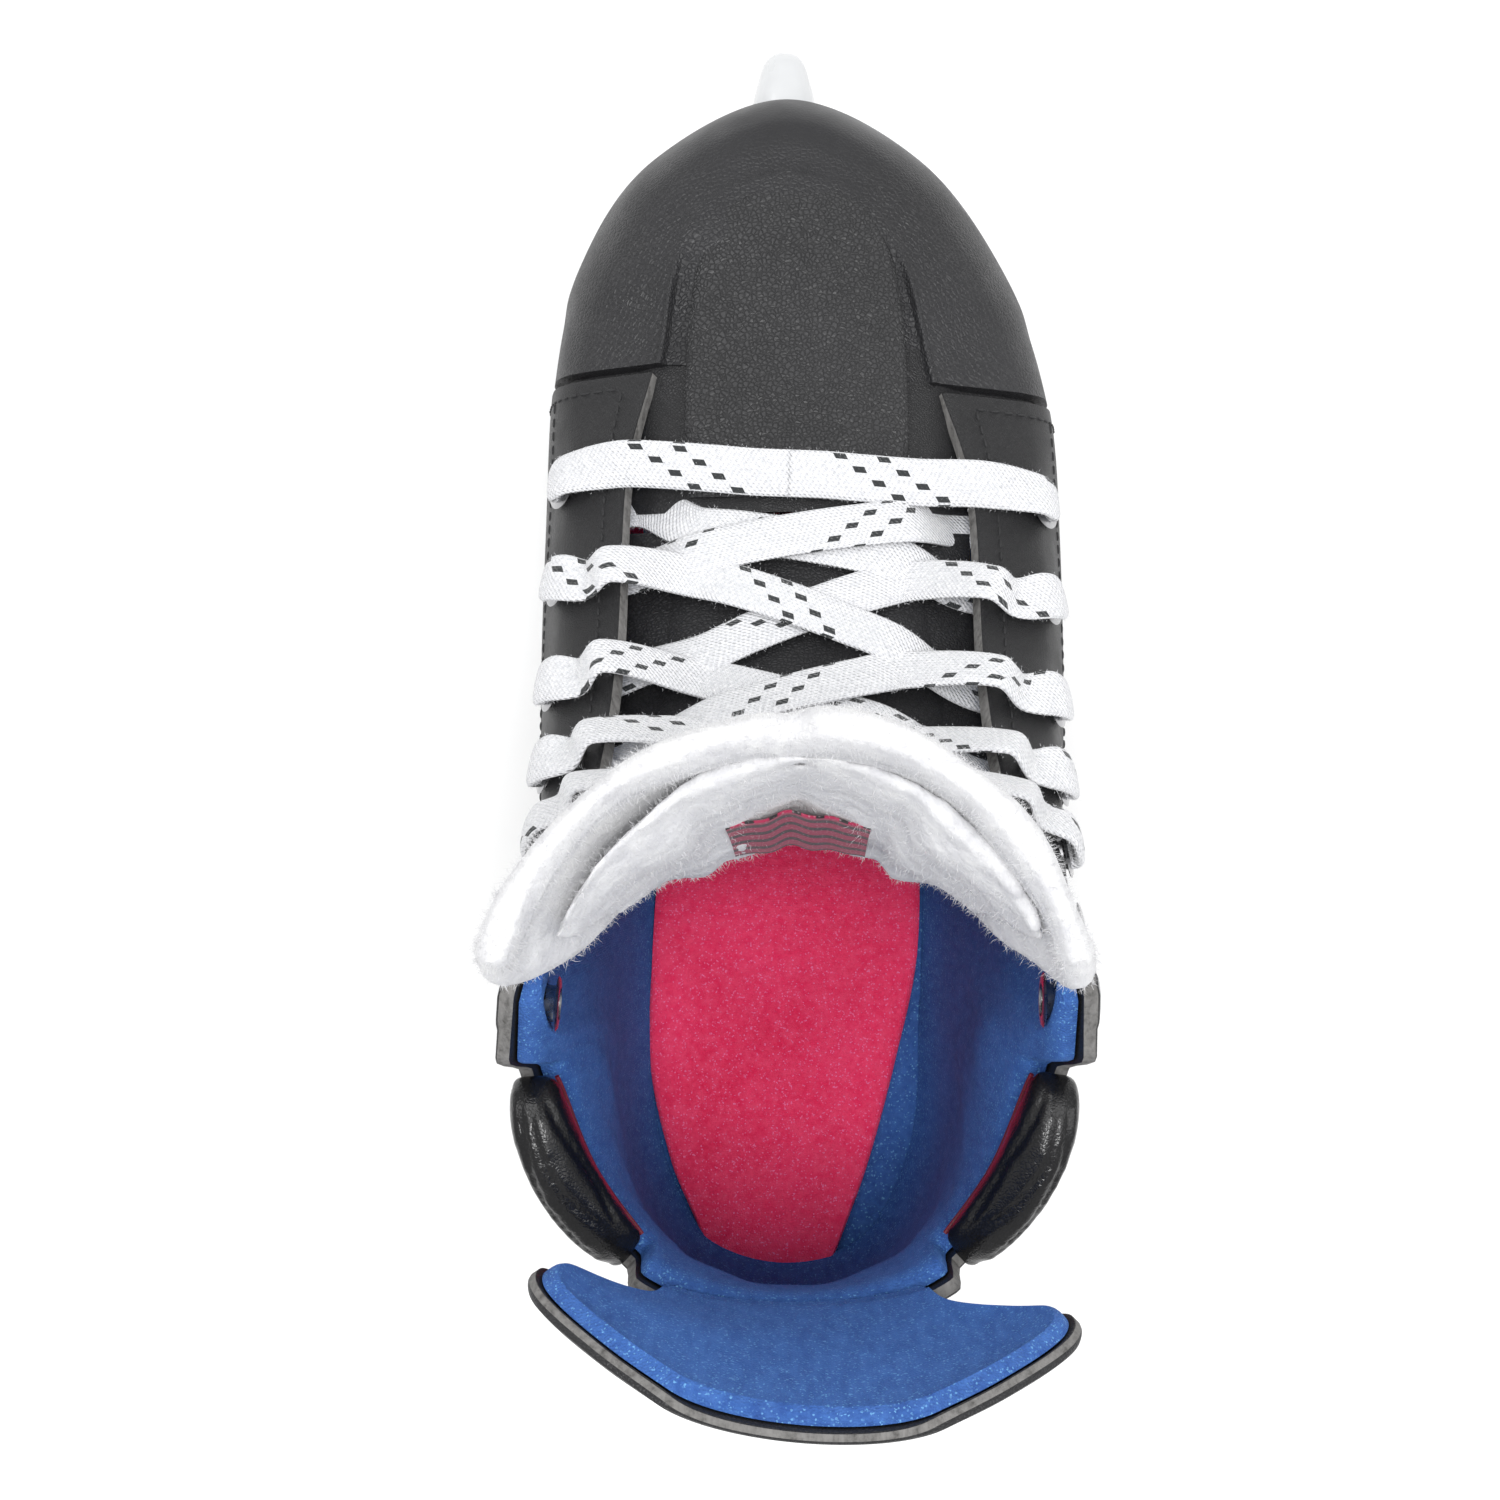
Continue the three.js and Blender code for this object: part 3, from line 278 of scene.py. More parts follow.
def modifier(obj, kind, **values):
    m = obj.modifiers.new(kind.lower(), kind)
    for key, value in values.items():
        setattr(m, key, value)
    return m


def bake(obj):
    """Turns an object's modifiers into its mesh."""
    graph_now = bpy.context.evaluated_depsgraph_get()
    fresh = bpy.data.meshes.new_from_object(obj.evaluated_get(graph_now), depsgraph=graph_now)
    obj.modifiers.clear()
    obj.data = fresh
    return obj


def drilled(obj, holes):
    """Cuts round holes, given as (centre, direction, radius, back, front) in mm."""
    work = bmesh.new()
    for centre, direction, radius, back, front in holes:
        turn = Vector((0, 0, 1)).rotation_difference(Vector(direction)).to_matrix().to_4x4()
        middle = np.asarray(centre) + np.asarray(direction) * (front - back) / 2
        place = Matrix.Translation(Vector(middle) * MM) @ turn
        bmesh.ops.create_cone(work, cap_ends=True, segments=24, radius1=radius * MM, radius2=radius * MM,
                              depth=(front + back) * MM, matrix=place)
    mesh = bpy.data.meshes.new("holes")
    work.to_mesh(mesh)
    work.free()
    cutter = linked("holes", mesh)
    modifier(obj, "BOOLEAN", operation="DIFFERENCE", solver="FAST", object=cutter)
    bake(obj)
    bpy.data.objects.remove(cutter)
    return obj


def pierced(obj, wanted):
    """Opens the lace holes of these sides: removes the faces round each axis, under its flanges."""
    work = bmesh.new()
    work.from_mesh(obj.data)
    middles = np.array([f.calc_center_median() for f in work.faces]) / MM
    gone = np.zeros(len(middles), bool)
    for side in wanted:
        for row in range(1, 8):
            centre, axis = eyelets[side, row]
            away = middles - centre
            depth = away @ axis
            near = np.linalg.norm(away - depth[:, None] * axis, axis=1) < 3.0
            gone |= near & (depth > -11) & (depth < 4)
    work.faces.ensure_lookup_table()
    bmesh.ops.delete(work, geom=[work.faces[i] for i in np.flatnonzero(gone)], context="FACES")
    work.to_mesh(obj.data)
    work.free()
    return obj


def ribbon_rings(centres, wides, widths, thicks, sides=20):
    """Flattened rings along a line, each as wide as the lace there."""
    centres = np.asarray(centres, float)
    tangents = unit(np.gradient(centres, axis=0))
    thick = unit(np.cross(wides, tangents))
    across = unit(np.cross(tangents, thick))
    w = np.linspace(0, 2 * np.pi, sides + 1)
    c = np.sign(np.cos(w)) * np.abs(np.cos(w)) ** 0.55
    s = np.sign(np.sin(w)) * np.abs(np.sin(w)) ** 0.8
    return (
        centres[:, None]
        + across[:, None] * (c[None, :, None] * np.asarray(widths)[:, None, None] / 2)
        + thick[:, None] * (s[None, :, None] * np.asarray(thicks)[:, None, None] / 2)
    )


def capped(rings):
    """The rings with both ends closed."""
    middles = {k: np.broadcast_to(rings[k][:-1].mean(0), rings[k].shape) for k in (0, -1)}
    return [(rings, 0)] + [(np.stack([rings[k], middles[k]], 1), 0) for k in (0, -1)]


def ellipsoids(name, places, turns, sizes, paint):
    """Many small rounded beads in one object, such as stitches: sizes are half lengths."""
    work = bmesh.new()
    bmesh.ops.create_uvsphere(work, u_segments=6, v_segments=5, radius=1)
    unit_verts = np.array([v.co for v in work.verts])
    unit_faces = np.array([[v.index for v in f.verts] for f in work.faces if len(f.verts) == 4])
    caps = np.array([[v.index for v in f.verts] for f in work.faces if len(f.verts) == 3])
    work.free()
    verts = np.einsum("nij,kj->nki", turns, unit_verts * np.asarray(sizes)) + places[:, None]
    shift = np.arange(len(places))[:, None, None] * len(unit_verts)
    faces = [list(map(int, f)) for f in (unit_faces[None] + shift).reshape(-1, 4)]
    faces += [list(map(int, f)) for f in (caps[None] + shift).reshape(-1, 3)]
    mesh = bpy.data.meshes.new(name)
    mesh.from_pydata([tuple(v) for v in verts.reshape(-1, 3) * MM], [], faces)
    mesh.materials.append(paint)
    mesh.shade_smooth()
    return linked(name, mesh)


def stitches(name, line, normals, paint, pitch=3.0, long=2.3, wide=0.62):
    """A row of stitches along a line of points on a surface."""
    run = np.concatenate([[0], np.cumsum(np.linalg.norm(np.diff(line, axis=0), axis=1))])
    at = np.arange(pitch / 2, run[-1], pitch)
    places = np.stack([np.interp(at, run, line[:, k]) for k in range(3)], 1)
    ahead = np.stack([np.interp(at + 0.4, run, line[:, k]) for k in range(3)], 1)
    behind = np.stack([np.interp(at - 0.4, run, line[:, k]) for k in range(3)], 1)
    up = unit(np.stack([np.interp(at, run, normals[:, k]) for k in range(3)], 1))
    along = unit(ahead - behind)
    side = unit(np.cross(up, along))
    turns = np.stack([along, side, unit(np.cross(along, side))], 2)
    return ellipsoids(name, places + up * 0.05, turns, [long / 2, wide / 2, 0.28], paint)


# ---------------------------------------------------------------- paints
class Paint:
    """A node material. A value that is a socket is linked, and any other is set."""

    def __init__(self, name):
        self.material = bpy.data.materials.new(name)
        self.material.use_nodes = True
        self.tree = self.material.node_tree
        self.surface = self.tree.nodes["Principled BSDF"]
        self.place = self.add("TexCoord", "Object")
        self.run = self.add("TexCoord", "UV")

    def set(self, node, values):
        for key, value in values.items():
            socket = node.inputs[key]
            if isinstance(value, bpy.types.NodeSocket):
                self.tree.links.new(value, socket)
            else:
                socket.default_value = value

    def add(self, kind, out=0, options=(), **values):
        node = self.tree.nodes.new("ShaderNode" + kind)
        for key, value in dict(options).items():
            setattr(node, key, value)
        self.set(node, {k.replace("_", " "): v for k, v in values.items()})
        return node.outputs[out]

    def noise(self, scale, detail=3, rough=0.55, vector=None):
        vector = self.place if vector is None else vector
        return self.add("TexNoise", Vector=vector, Scale=scale, Detail=detail, Roughness=rough)

    def cells(self, scale, feature="F1", out="Distance", vector=None, random=1.0):
        vector = self.place if vector is None else vector
        return self.add("TexVoronoi", out, {"feature": feature}, Vector=vector, Scale=scale,
                        Randomness=random)

    def stretched(self, x, y, z, base=None):
        base = self.place if base is None else base
        return self.add("Mapping", Vector=base, Scale=(x, y, z))

    def maths(self, operation, a, b=0.0, clamp=False):
        node = self.tree.nodes.new("ShaderNodeMath")
        node.operation = operation
        node.use_clamp = clamp
        self.set(node, {0: a, 1: b})
        return node.outputs[0]

    def ramp(self, fac, *stops):
        """Colours or greys at positions along a factor."""
        node = self.tree.nodes.new("ShaderNodeValToRGB")
        self.set(node, {"Fac": fac})
        ends = node.color_ramp.elements
        while len(ends) < len(stops):
            ends.new(0.5)
        for e, (position, value) in zip(ends, stops):
            e.position = position
            e.color = (*([value] * 3 if isinstance(value, (int, float)) else value), 1)
        return node.outputs[0]

    def blend(self, fac, a, b, kind="MIX"):
        node = self.tree.nodes.new("ShaderNodeMix")
        node.data_type = "RGBA"
        node.blend_type = kind
        for number, value in ((0, fac), (6, a), (7, b)):
            if isinstance(value, bpy.types.NodeSocket):
                self.tree.links.new(value, node.inputs[number])
            else:
                node.inputs[number].default_value = value if number == 0 else (*value, 1)
        return node.outputs[2]

    def bump(self, height, distance, strength=1.0, under=None):
        values = {"Height": height, "Distance": distance * MM, "Strength": strength}
        if under is not None:
            values["Normal"] = under
        return self.add("Bump", **values)

    def finish(self, **values):
        self.set(self.surface, {k.replace("_", " "): v for k, v in values.items()})
        return self.material


def grey(value):
    return (value, value, value)


def scaled(tone, by, plus=0.0):
    return tuple(min(1, c * by + plus) for c in tone)


def leather(name, tone, cell, depth, rough, spread=0.14, sheen=0.0):
    """Coated leather: grain cells with painted shade in their creases, finer pores, and a slow change of tone
    and gloss.
    """
    p = Paint(name)
    warp = p.add("MixRGB", 0, {"blend_type": "ADD"}, Fac=0.0012, Color1=p.place, Color2=p.noise(260))
    grain = p.cells(1000 / cell, "DISTANCE_TO_EDGE", vector=warp)
    fine = p.noise(1900, 4)
    slow = p.noise(38, 4)
    shade = p.ramp(slow, (0.3, scaled(tone, 1 - spread)), (0.72, scaled(tone, 1 + spread)))
    # Painted shade: the grain's creases, low in its bump, are darkened in the base colour.
    painted_crease_shade = p.ramp(grain, (0.0, 0.55), (0.22, 1.0))
    first = p.bump(fine, 0.05, 0.5)
    return p.finish(
        Base_Color=p.blend(1.0, shade, painted_crease_shade, "MULTIPLY"),
        Roughness=p.ramp(p.noise(90, 3), (0.3, rough - 0.07), (0.7, rough + 0.09)),
        Normal=p.bump(p.ramp(grain, (0.0, 0.0), (0.25, 1.0)), depth, 0.8, first),
        Sheen_Weight=sheen,
        Specular_IOR_Level=0.42,
    )


def knit(name, tone, sheen_tone, deep):
    """Brushed synthetic knit: a fine rib, painted sheen on streaks of nap, and painted glints on fibre
    points.
    """
    p = Paint(name)
    nap = p.noise(420, 5, 0.62)
    sheen_streak = p.noise(1.0, 4, 0.6, p.stretched(520, 520, 130))
    slow = p.noise(32, 3)
    tonal = p.ramp(slow, (0.3, deep), (0.72, tone))
    # Painted sheen: streaks of nap are lightened towards the sheen tone.
    tonal = p.blend(p.ramp(sheen_streak, (0.35, 0.0), (0.75, 0.55)), tonal, sheen_tone)
    # Painted glints: sparse bright fibre points put into the base colour.
    glint_cells = p.cells(3600, out="Color")
    points = p.ramp(p.add("SeparateColor", 0, Color=glint_cells), (0.9, 0.0), (0.98, 0.34))
    ribs = p.cells(2300, random=0.7)
    first = p.bump(nap, 0.35, 0.6)
    return p.finish(
        Base_Color=p.blend(points, tonal, scaled(sheen_tone, 3.2, 0.08)),
        Roughness=p.ramp(nap, (0.3, 0.78), (0.7, 0.95)),
        Normal=p.bump(ribs, 0.3, 0.8, first),
        Sheen_Weight=0.55,
        Sheen_Roughness=0.45,
        Sheen_Tint=(*sheen_tone, 1),
    )


def felt(name, tone, shade):
    """Thick needled wool felt: tangled fibres, pills and soft hollows, with painted shade in the hollows
    between pills and between fibres.
    """
    p = Paint(name)
    fibre = p.noise(1.0, 6, 0.7, p.stretched(900, 620, 700))
    pill = p.noise(210, 4, 0.6)
    slow = p.noise(45, 3)
    # Painted shade: the low parts of the pill and fibre bumps are darkened towards the shade colour.
    colour = p.blend(p.ramp(pill, (0.3, 0.0), (0.75, 1.0)), shade, tone)
    colour = p.blend(p.ramp(fibre, (0.3, 0.25), (0.6, 0.0)), colour, scaled(shade, 0.8))
    first = p.bump(slow, 1.4, 0.5)
    second = p.bump(pill, 0.9, 0.7, first)
    return p.finish(
        Base_Color=colour,
        Roughness=p.ramp(fibre, (0.3, 0.9), (0.7, 1.0)),
        Normal=p.bump(fibre, 0.5, 0.8, second),
        Sheen_Weight=0.4,
        Sheen_Roughness=0.6,
        Subsurface_Weight=0.12,
        Subsurface_Radius=(0.004, 0.004, 0.004),
        Subsurface_Scale=0.6,
    )


def plastic(name, tone, rough, grain, depth, coat=0.0):
    """Moulded plastic: a spark-eroded texture, faint flow marks and scuffs."""
    p = Paint(name)
    slow = p.noise(24, 4)
    fine = p.noise(grain, 4, 0.6)
    scuff = p.noise(1.0, 5, 0.7, p.stretched(240, 60, 240))
    shade = p.ramp(slow, (0.3, scaled(tone, 0.86)), (0.7, scaled(tone, 1.08)))
    marks = p.ramp(scuff, (0.62, 0.0), (0.74, 0.35))
    return p.finish(
        Base_Color=p.blend(marks, shade, scaled(tone, 1.2, 0.012)),
        Roughness=p.ramp(p.noise(130, 3), (0.3, rough - 0.05), (0.7, rough + 0.1)),
        Normal=p.bump(fine, depth, 0.7),
        Coat_Weight=coat,
        Coat_Roughness=0.12,
    )


def toe_leather(name, tone):
    """The cap's skin: fine grain on the crown that dies away towards the smooth front bumper."""
    p = Paint(name)
    split = p.tree.nodes.new("ShaderNodeSeparateXYZ")
    p.set(split, {0: p.place})
    ahead = p.maths("MULTIPLY", p.maths("SUBTRACT", split.outputs[1], 0.1), 25.0, True)
    front = p.ramp(ahead, (0.25, 1.0), (0.75, 0.12))
    grain = p.cells(1000 / 0.95, "DISTANCE_TO_EDGE")
    pores = p.noise(2300, 4)
    slow = p.noise(30, 4)
    shade = p.ramp(slow, (0.3, scaled(tone, 0.8)), (0.7, scaled(tone, 1.15)))
    scuff = p.ramp(p.noise(1.0, 5, 0.7, p.stretched(200, 70, 200)), (0.63, 0.0), (0.75, 0.3))
    height = p.maths("MULTIPLY", p.ramp(grain, (0.0, 0.0), (0.25, 1.0)), front)
    return p.finish(
        Base_Color=p.blend(scuff, shade, scaled(tone, 1.5)),
        Roughness=p.ramp(p.noise(90, 3), (0.3, 0.42), (0.7, 0.56)),
        Normal=p.bump(height, 0.2, 0.75, p.bump(pores, 0.05, 0.6)),
        Specular_IOR_Level=0.42,
    )


def metal(name, tone, rough, along, depth=0.03):
    """Metal with fine grinding marks in one direction, and dull spots."""
    p = Paint(name)
    lines = p.noise(1.0, 4, 0.65, p.stretched(*along))
    spots = p.noise(70, 4)
    return p.finish(
        Base_Color=p.ramp(spots, (0.3, scaled(tone, 0.82)), (0.7, tone)),
        Metallic=1.0,
        Roughness=p.ramp(lines, (0.3, rough * 0.7), (0.7, rough * 1.4)),
        Normal=p.bump(lines, depth, 0.5),
    )


def cut_edge(name, tone, light):
    """The raw edge of a laminated board: thin layers, with fluff."""
    p = Paint(name)
    fluff = p.noise(900, 5, 0.7)
    layers = p.noise(1.0, 3, 0.6, p.stretched(700, 160, 700))
    loose = p.ramp(fluff, (0.35, 0.0), (0.7, 1.0))
    return p.finish(
        Base_Color=p.blend(loose, p.ramp(layers, (0.35, tone), (0.7, light)), light),
        Roughness=p.ramp(fluff, (0.3, 0.75), (0.7, 0.95)),
        Normal=p.bump(layers, 0.4, 0.7, p.bump(fluff, 0.3, 0.8)),
    )


def lace_cotton():
    """Woven cotton lace: a fine herringbone, fluff, and pairs of slanting dark tracer dashes."""
    p = Paint("lace_cotton")
    split = p.tree.nodes.new("ShaderNodeSeparateXYZ")
    p.set(split, {0: p.run})
    along, across = split.outputs[0], split.outputs[1]
    # The ring runs twice over the width, so a folded coordinate is 0 at one edge and 1 at the other.
    fold = p.maths("PINGPONG", p.maths("DIVIDE", across, 10.2), 1.0)
    # Groups of two parallel rows of dashes cross the lace on a slant, with plain white between groups.
    step = p.maths("MULTIPLY", fold, 4.6)
    dashed = p.maths("LESS_THAN", p.maths("FRACT", step), 0.5)
    rows = []
    for start in (4.0, 12.6):
        groups = p.maths("DIVIDE", p.maths("SUBTRACT", along, start), 44.0)
        place = p.maths("MULTIPLY", p.maths("FRACT", groups), 44.0)
        stepped = p.maths("MULTIPLY", p.maths("FLOOR", step), 4.0)
        slant = p.maths("ADD", stepped, p.maths("MULTIPLY", p.maths("FRACT", step), 1.4))
        off = p.maths("ABSOLUTE", p.maths("SUBTRACT", place, p.maths("ADD", slant, 1.4)))
        rows.append(p.maths("LESS_THAN", off, 1.2))
    dash = p.maths("MULTIPLY", dashed, p.maths("MAXIMUM", *rows))
    weave = p.add("TexWave", "Fac", {"wave_type": "BANDS", "bands_direction": "DIAGONAL"},
                  Vector=p.run, Scale=0.62, Distortion=1.6, Detail=2.0)
    cross = p.add("TexWave", "Fac", {"wave_type": "BANDS", "bands_direction": "Y"},
                  Vector=p.run, Scale=0.5, Distortion=0.8)
    fluff = p.noise(1300, 5, 0.7)
    white = p.blend(p.ramp(fluff, (0.3, 0.0), (0.7, 1.0)), (0.6, 0.61, 0.64), (0.86, 0.86, 0.875))
    first = p.bump(fluff, 0.3, 0.7)
    second = p.bump(weave, 0.28, 0.7, first)
    return p.finish(
        Base_Color=p.blend(dash, white, (0.025, 0.028, 0.03)),
        Roughness=p.ramp(fluff, (0.3, 0.85), (0.7, 0.98)),
        Normal=p.bump(cross, 0.14, 0.6, second),
        Sheen_Weight=0.3,
        Sheen_Roughness=0.5,
    )


def label_cloth():
    """A printed satin size label: coloured bars and a plain frame, with no lettering."""
    p = Paint("label_red")
    bars = p.add("TexWave", "Fac", {"wave_type": "BANDS", "bands_direction": "X"},
                 Vector=p.run, Scale=0.075, Distortion=0.0)
    dots = p.cells(1.1, vector=p.run, random=0.4)
    dark = p.ramp(bars, (0.28, 0.0), (0.34, 1.0))
    colour = p.blend(dark, (0.012, 0.01, 0.012), (0.33, 0.012, 0.06))
    specks = p.ramp(dots, (0.16, 1.0), (0.24, 0.0))
    weave = p.noise(1800, 3)
    return p.finish(
        Base_Color=p.blend(p.maths("MULTIPLY", specks, 0.35), colour, (0.55, 0.4, 0.42)),
        Roughness=p.ramp(weave, (0.3, 0.42), (0.7, 0.6)),
        Normal=p.bump(weave, 0.12, 0.6),
        Sheen_Weight=0.2,
    )


def clear_plastic():
    p = Paint("aglet_clear")
    marks = p.noise(500, 4)
    return p.finish(
        Base_Color=p.ramp(marks, (0.3, (0.72, 0.76, 0.8)), (0.7, (0.86, 0.89, 0.92))),
        Roughness=p.ramp(marks, (0.3, 0.12), (0.7, 0.28)),
        Normal=p.bump(marks, 0.08, 0.5),
        Transmission_Weight=0.55,
    )


black = leather("upper_leather", (0.016, 0.016, 0.0175), 0.55, 0.09, 0.52)
grained = leather("grained_leather", (0.033, 0.033, 0.035), 0.95, 0.24, 0.48)
tongue_vinyl = leather("tongue_vinyl", (0.02, 0.02, 0.022), 0.8, 0.12, 0.5)
guard_black = leather("guard_vinyl", (0.02, 0.02, 0.022), 0.7, 0.1, 0.5)
gloss = leather("gloss_vinyl", (0.008, 0.008, 0.009), 0.7, 0.035, 0.2, 0.2)
cap_black = plastic("moulded_black", (0.024, 0.024, 0.026), 0.42, 1500, 0.06)
cap_skin = toe_leather("toe_leather", (0.021, 0.021, 0.023))
sole_black = plastic("sole_black", (0.014, 0.014, 0.016), 0.5, 900, 0.12)
white_plastic = plastic("holder_white", (0.6, 0.61, 0.62), 0.3, 500, 0.04, 0.3)
blue = knit("knit_blue", (0.026, 0.098, 0.35), (0.06, 0.18, 0.5), (0.015, 0.06, 0.24))
red = knit("insole_red", (0.95, 0.03, 0.13), (1.0, 0.1, 0.22), (0.8, 0.012, 0.08))
wool = felt("felt_white", (0.84, 0.84, 0.84), (0.62, 0.62, 0.645))
cotton = lace_cotton()
label = label_cloth()
edge_grey = cut_edge("edge_grey", (0.05, 0.048, 0.045), (0.2, 0.195, 0.19))
board = cut_edge("board", (0.12, 0.08, 0.05), (0.26, 0.2, 0.13))
steel = metal("runner_steel", (0.62, 0.63, 0.65), 0.22, (260, 9, 1400))
nickel = metal("eyelet_nickel", (0.42, 0.42, 0.43), 0.28, (600, 600, 600))
bright_nickel = metal("fastener_steel", (0.6, 0.6, 0.61), 0.25, (500, 500, 500))
thread = leather("thread_black", (0.03, 0.03, 0.032), 0.3, 0.05, 0.6)
aglet_paint = clear_plastic()
piping = leather("piping_red", (0.16, 0.006, 0.02), 0.5, 0.06, 0.5)


# ---------------------------------------------------------------- quarters, liner, padded collar
sides = [("medial", -1), ("lateral", 1)]
pad_stations = (1.36, 2.94)
pad_seat = 0.915
pad_run = 0.16


def in_pad(t):
    """1 where a padded bolster sits on the collar, 0 elsewhere."""
    start, stop = pad_stations
    return smooth((t - start + pad_run + 0.02) / pad_run) * smooth((stop + pad_run + 0.02 - t) / pad_run)


def top_of(t):
    """How high the quarters reach, lower under the bolsters."""
    return mix(1, pad_seat - 0.015, in_pad(t))


def row_station(row):
    return 7 - 0.485 * (row - 1)


eyelets = {}
for name, side in sides:
    for row in range(1, 8):
        centre = form(side, row_station(row), 0.78)[0]
        eyelets[side, row] = (centre, form_normal(side, row_station(row), 0.78)[0])


def layer_edges(t, v):
    """Distance in mm that overlaid panels raise the quarter: the eyestay and the toe-side panel."""
    stay = smooth((v - 0.615) / 0.012) * smooth((t - 3.35) / 0.05)
    front = smooth((t - 5.62 - 0.25 * (0.5 - v)) / 0.012)
    return 0.35 * stay + 0.3 * front * (1 - stay)


def quarter_outer(side, top=0.0):
    def at(u, v):
        height = v * top_of(u)
        rounding = -0.5 * round_over(1 - v, 0.008)
        return offset(side, u, height, layer_edges(u, height) + top + rounding)
    return at


for name, side in sides:
    us = np.concatenate([[heel_seam], np.linspace(0.05, quarter_front - 0.03, 190), [quarter_front]])
    vs = np.concatenate([np.linspace(0, 0.975, 78), [0.985, 0.993, 0.998, 1.0]])
    inner = lambda u, v, s=side: offset(s, u, v * top_of(u), -quarter_thickness)
    piece = shell(f"quarter_{name}_skin", quarter_outer(side), inner, us, vs, [black, edge_grey], edge=1)
    pierced(piece, [side])
    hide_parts(f"quarter_{name}")
    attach(piece, "boot")

    # Seams: along the facing's edge, down the front, under the eyestay and round the heel.
    t_facing = np.linspace(3.5, quarter_front - 0.12, 300)
    t_collar = np.linspace(0.15, 3.2, 240)
    v_panel = np.linspace(0.08, 0.6, 140)
    seams = {
        "facing": (t_facing, np.full(300, 0.935)),
        "stay": (t_facing, np.full(300, 0.632)),
        "stay_low": (np.linspace(3.5, 5.5, 200), np.full(200, 0.585)),
        "front": (np.full(160, quarter_front - 0.13), np.linspace(0.09, 0.935, 160)),
        "panel": (5.68 + 0.25 * (0.5 - v_panel), v_panel),
        "collar": (t_collar, 0.97 * top_of(t_collar) - 0.012),
    }
    for seam, (t, v) in seams.items():
        line = offset(side, t, v, layer_edges(t, v) + 0.02)
        row = stitches(f"stitches_{name}_{seam}", line, form_normal(side, t, v), thread)
        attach(row, "boot")


def liner_depth(t, v):
    ankle = 2.8 * smooth(1 - np.abs(t - 2.9) / 1.6) * smooth(1 - np.abs(v - 0.62) / 0.4)
    near_facing = smooth((t - 3.5) / 0.6) * smooth((v - 0.5) / 0.2)
    return mix(liner_thickness, 2.2, near_facing) + ankle


liner_front = 7.5
liner_us = two_sided(liner_front, 0.03, 210)
liner_vs = np.concatenate([np.linspace(0.045, 0.93, 62), [0.945, 0.955, 0.963, 0.97]])
liner_from = quarter_thickness + 1.4 * clearance


def liner_height(u, v):
    return v * top_of(np.abs(u))


def liner_inner(u, v):
    height = liner_height(u, v)
    edge = 1.6 * round_over(0.97 - v, 0.03)
    ripple = 0.25 * np.sin(u * 9 + v * 14) * smooth((v - 0.2) / 0.2) * smooth((0.9 - v) / 0.15)
    return around(u, height, -liner_from - liner_depth(np.abs(u), height) + edge + ripple)


def liner_outer(u, v):
    return around(u, liner_height(u, v), -liner_from)


liner = shell("liner_knit", liner_outer, liner_inner, liner_us, liner_vs, [edge_grey, blue], edge=1, lining=1)
pierced(liner, [-1, 1])
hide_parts("liner")
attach(liner, "boot")


def inflate(obj, voxel, cap, pressure=4.0):
    """Puffs a closed form up as cloth under pressure, with each point's move capped, then smooths it."""
    modifier(obj, "REMESH", mode="VOXEL", voxel_size=voxel * MM, use_smooth_shade=True)
    bake(obj)
    start = np.array([v.co for v in obj.data.vertices])
    cloth = modifier(obj, "CLOTH")
    cloth.settings.use_pressure = True
    cloth.settings.uniform_pressure_force = pressure
    cloth.settings.effector_weights.gravity = 0
    cloth.settings.tension_stiffness = 12
    cloth.settings.compression_stiffness = 12
    cloth.settings.quality = 4
    cloth.point_cache.frame_start = 1
    cloth.point_cache.frame_end = 14
    for f in range(1, 15):
        scene.frame_set(f)
    bake(obj)
    now = np.array([v.co for v in obj.data.vertices])
    move = now - start
    reach = np.linalg.norm(move, axis=1, keepdims=True)
    kept = start + move * np.minimum(1, cap * MM / np.maximum(reach, 1e-9))
    obj.data.vertices.foreach_set("co", kept.ravel())
    scene.frame_set(1)
    modifier(obj, "SMOOTH", factor=0.5, iterations=3)
    modifier(obj, "SUBSURF", levels=1, render_levels=1)
    bake(obj)
    obj.data.shade_smooth()
    return obj


def points_of(obj):
    """Its vertices in mm, and their normals."""
    n = len(obj.data.vertices)
    places, normals = np.empty(n * 3), np.empty(n * 3)
    obj.data.vertices.foreach_get("co", places)
    obj.data.vertex_normals.foreach_get("vector", normals)
    return places.reshape(-1, 3) / MM, normals.reshape(-1, 3)


def displaced(obj, fn):
    """Moves each point along its normal by fn(points in mm)."""
    places, normals = points_of(obj)
    places += normals * fn(places)[:, None]
    obj.data.vertices.foreach_set("co", (places * MM).ravel())
    obj.data.update()
    return obj


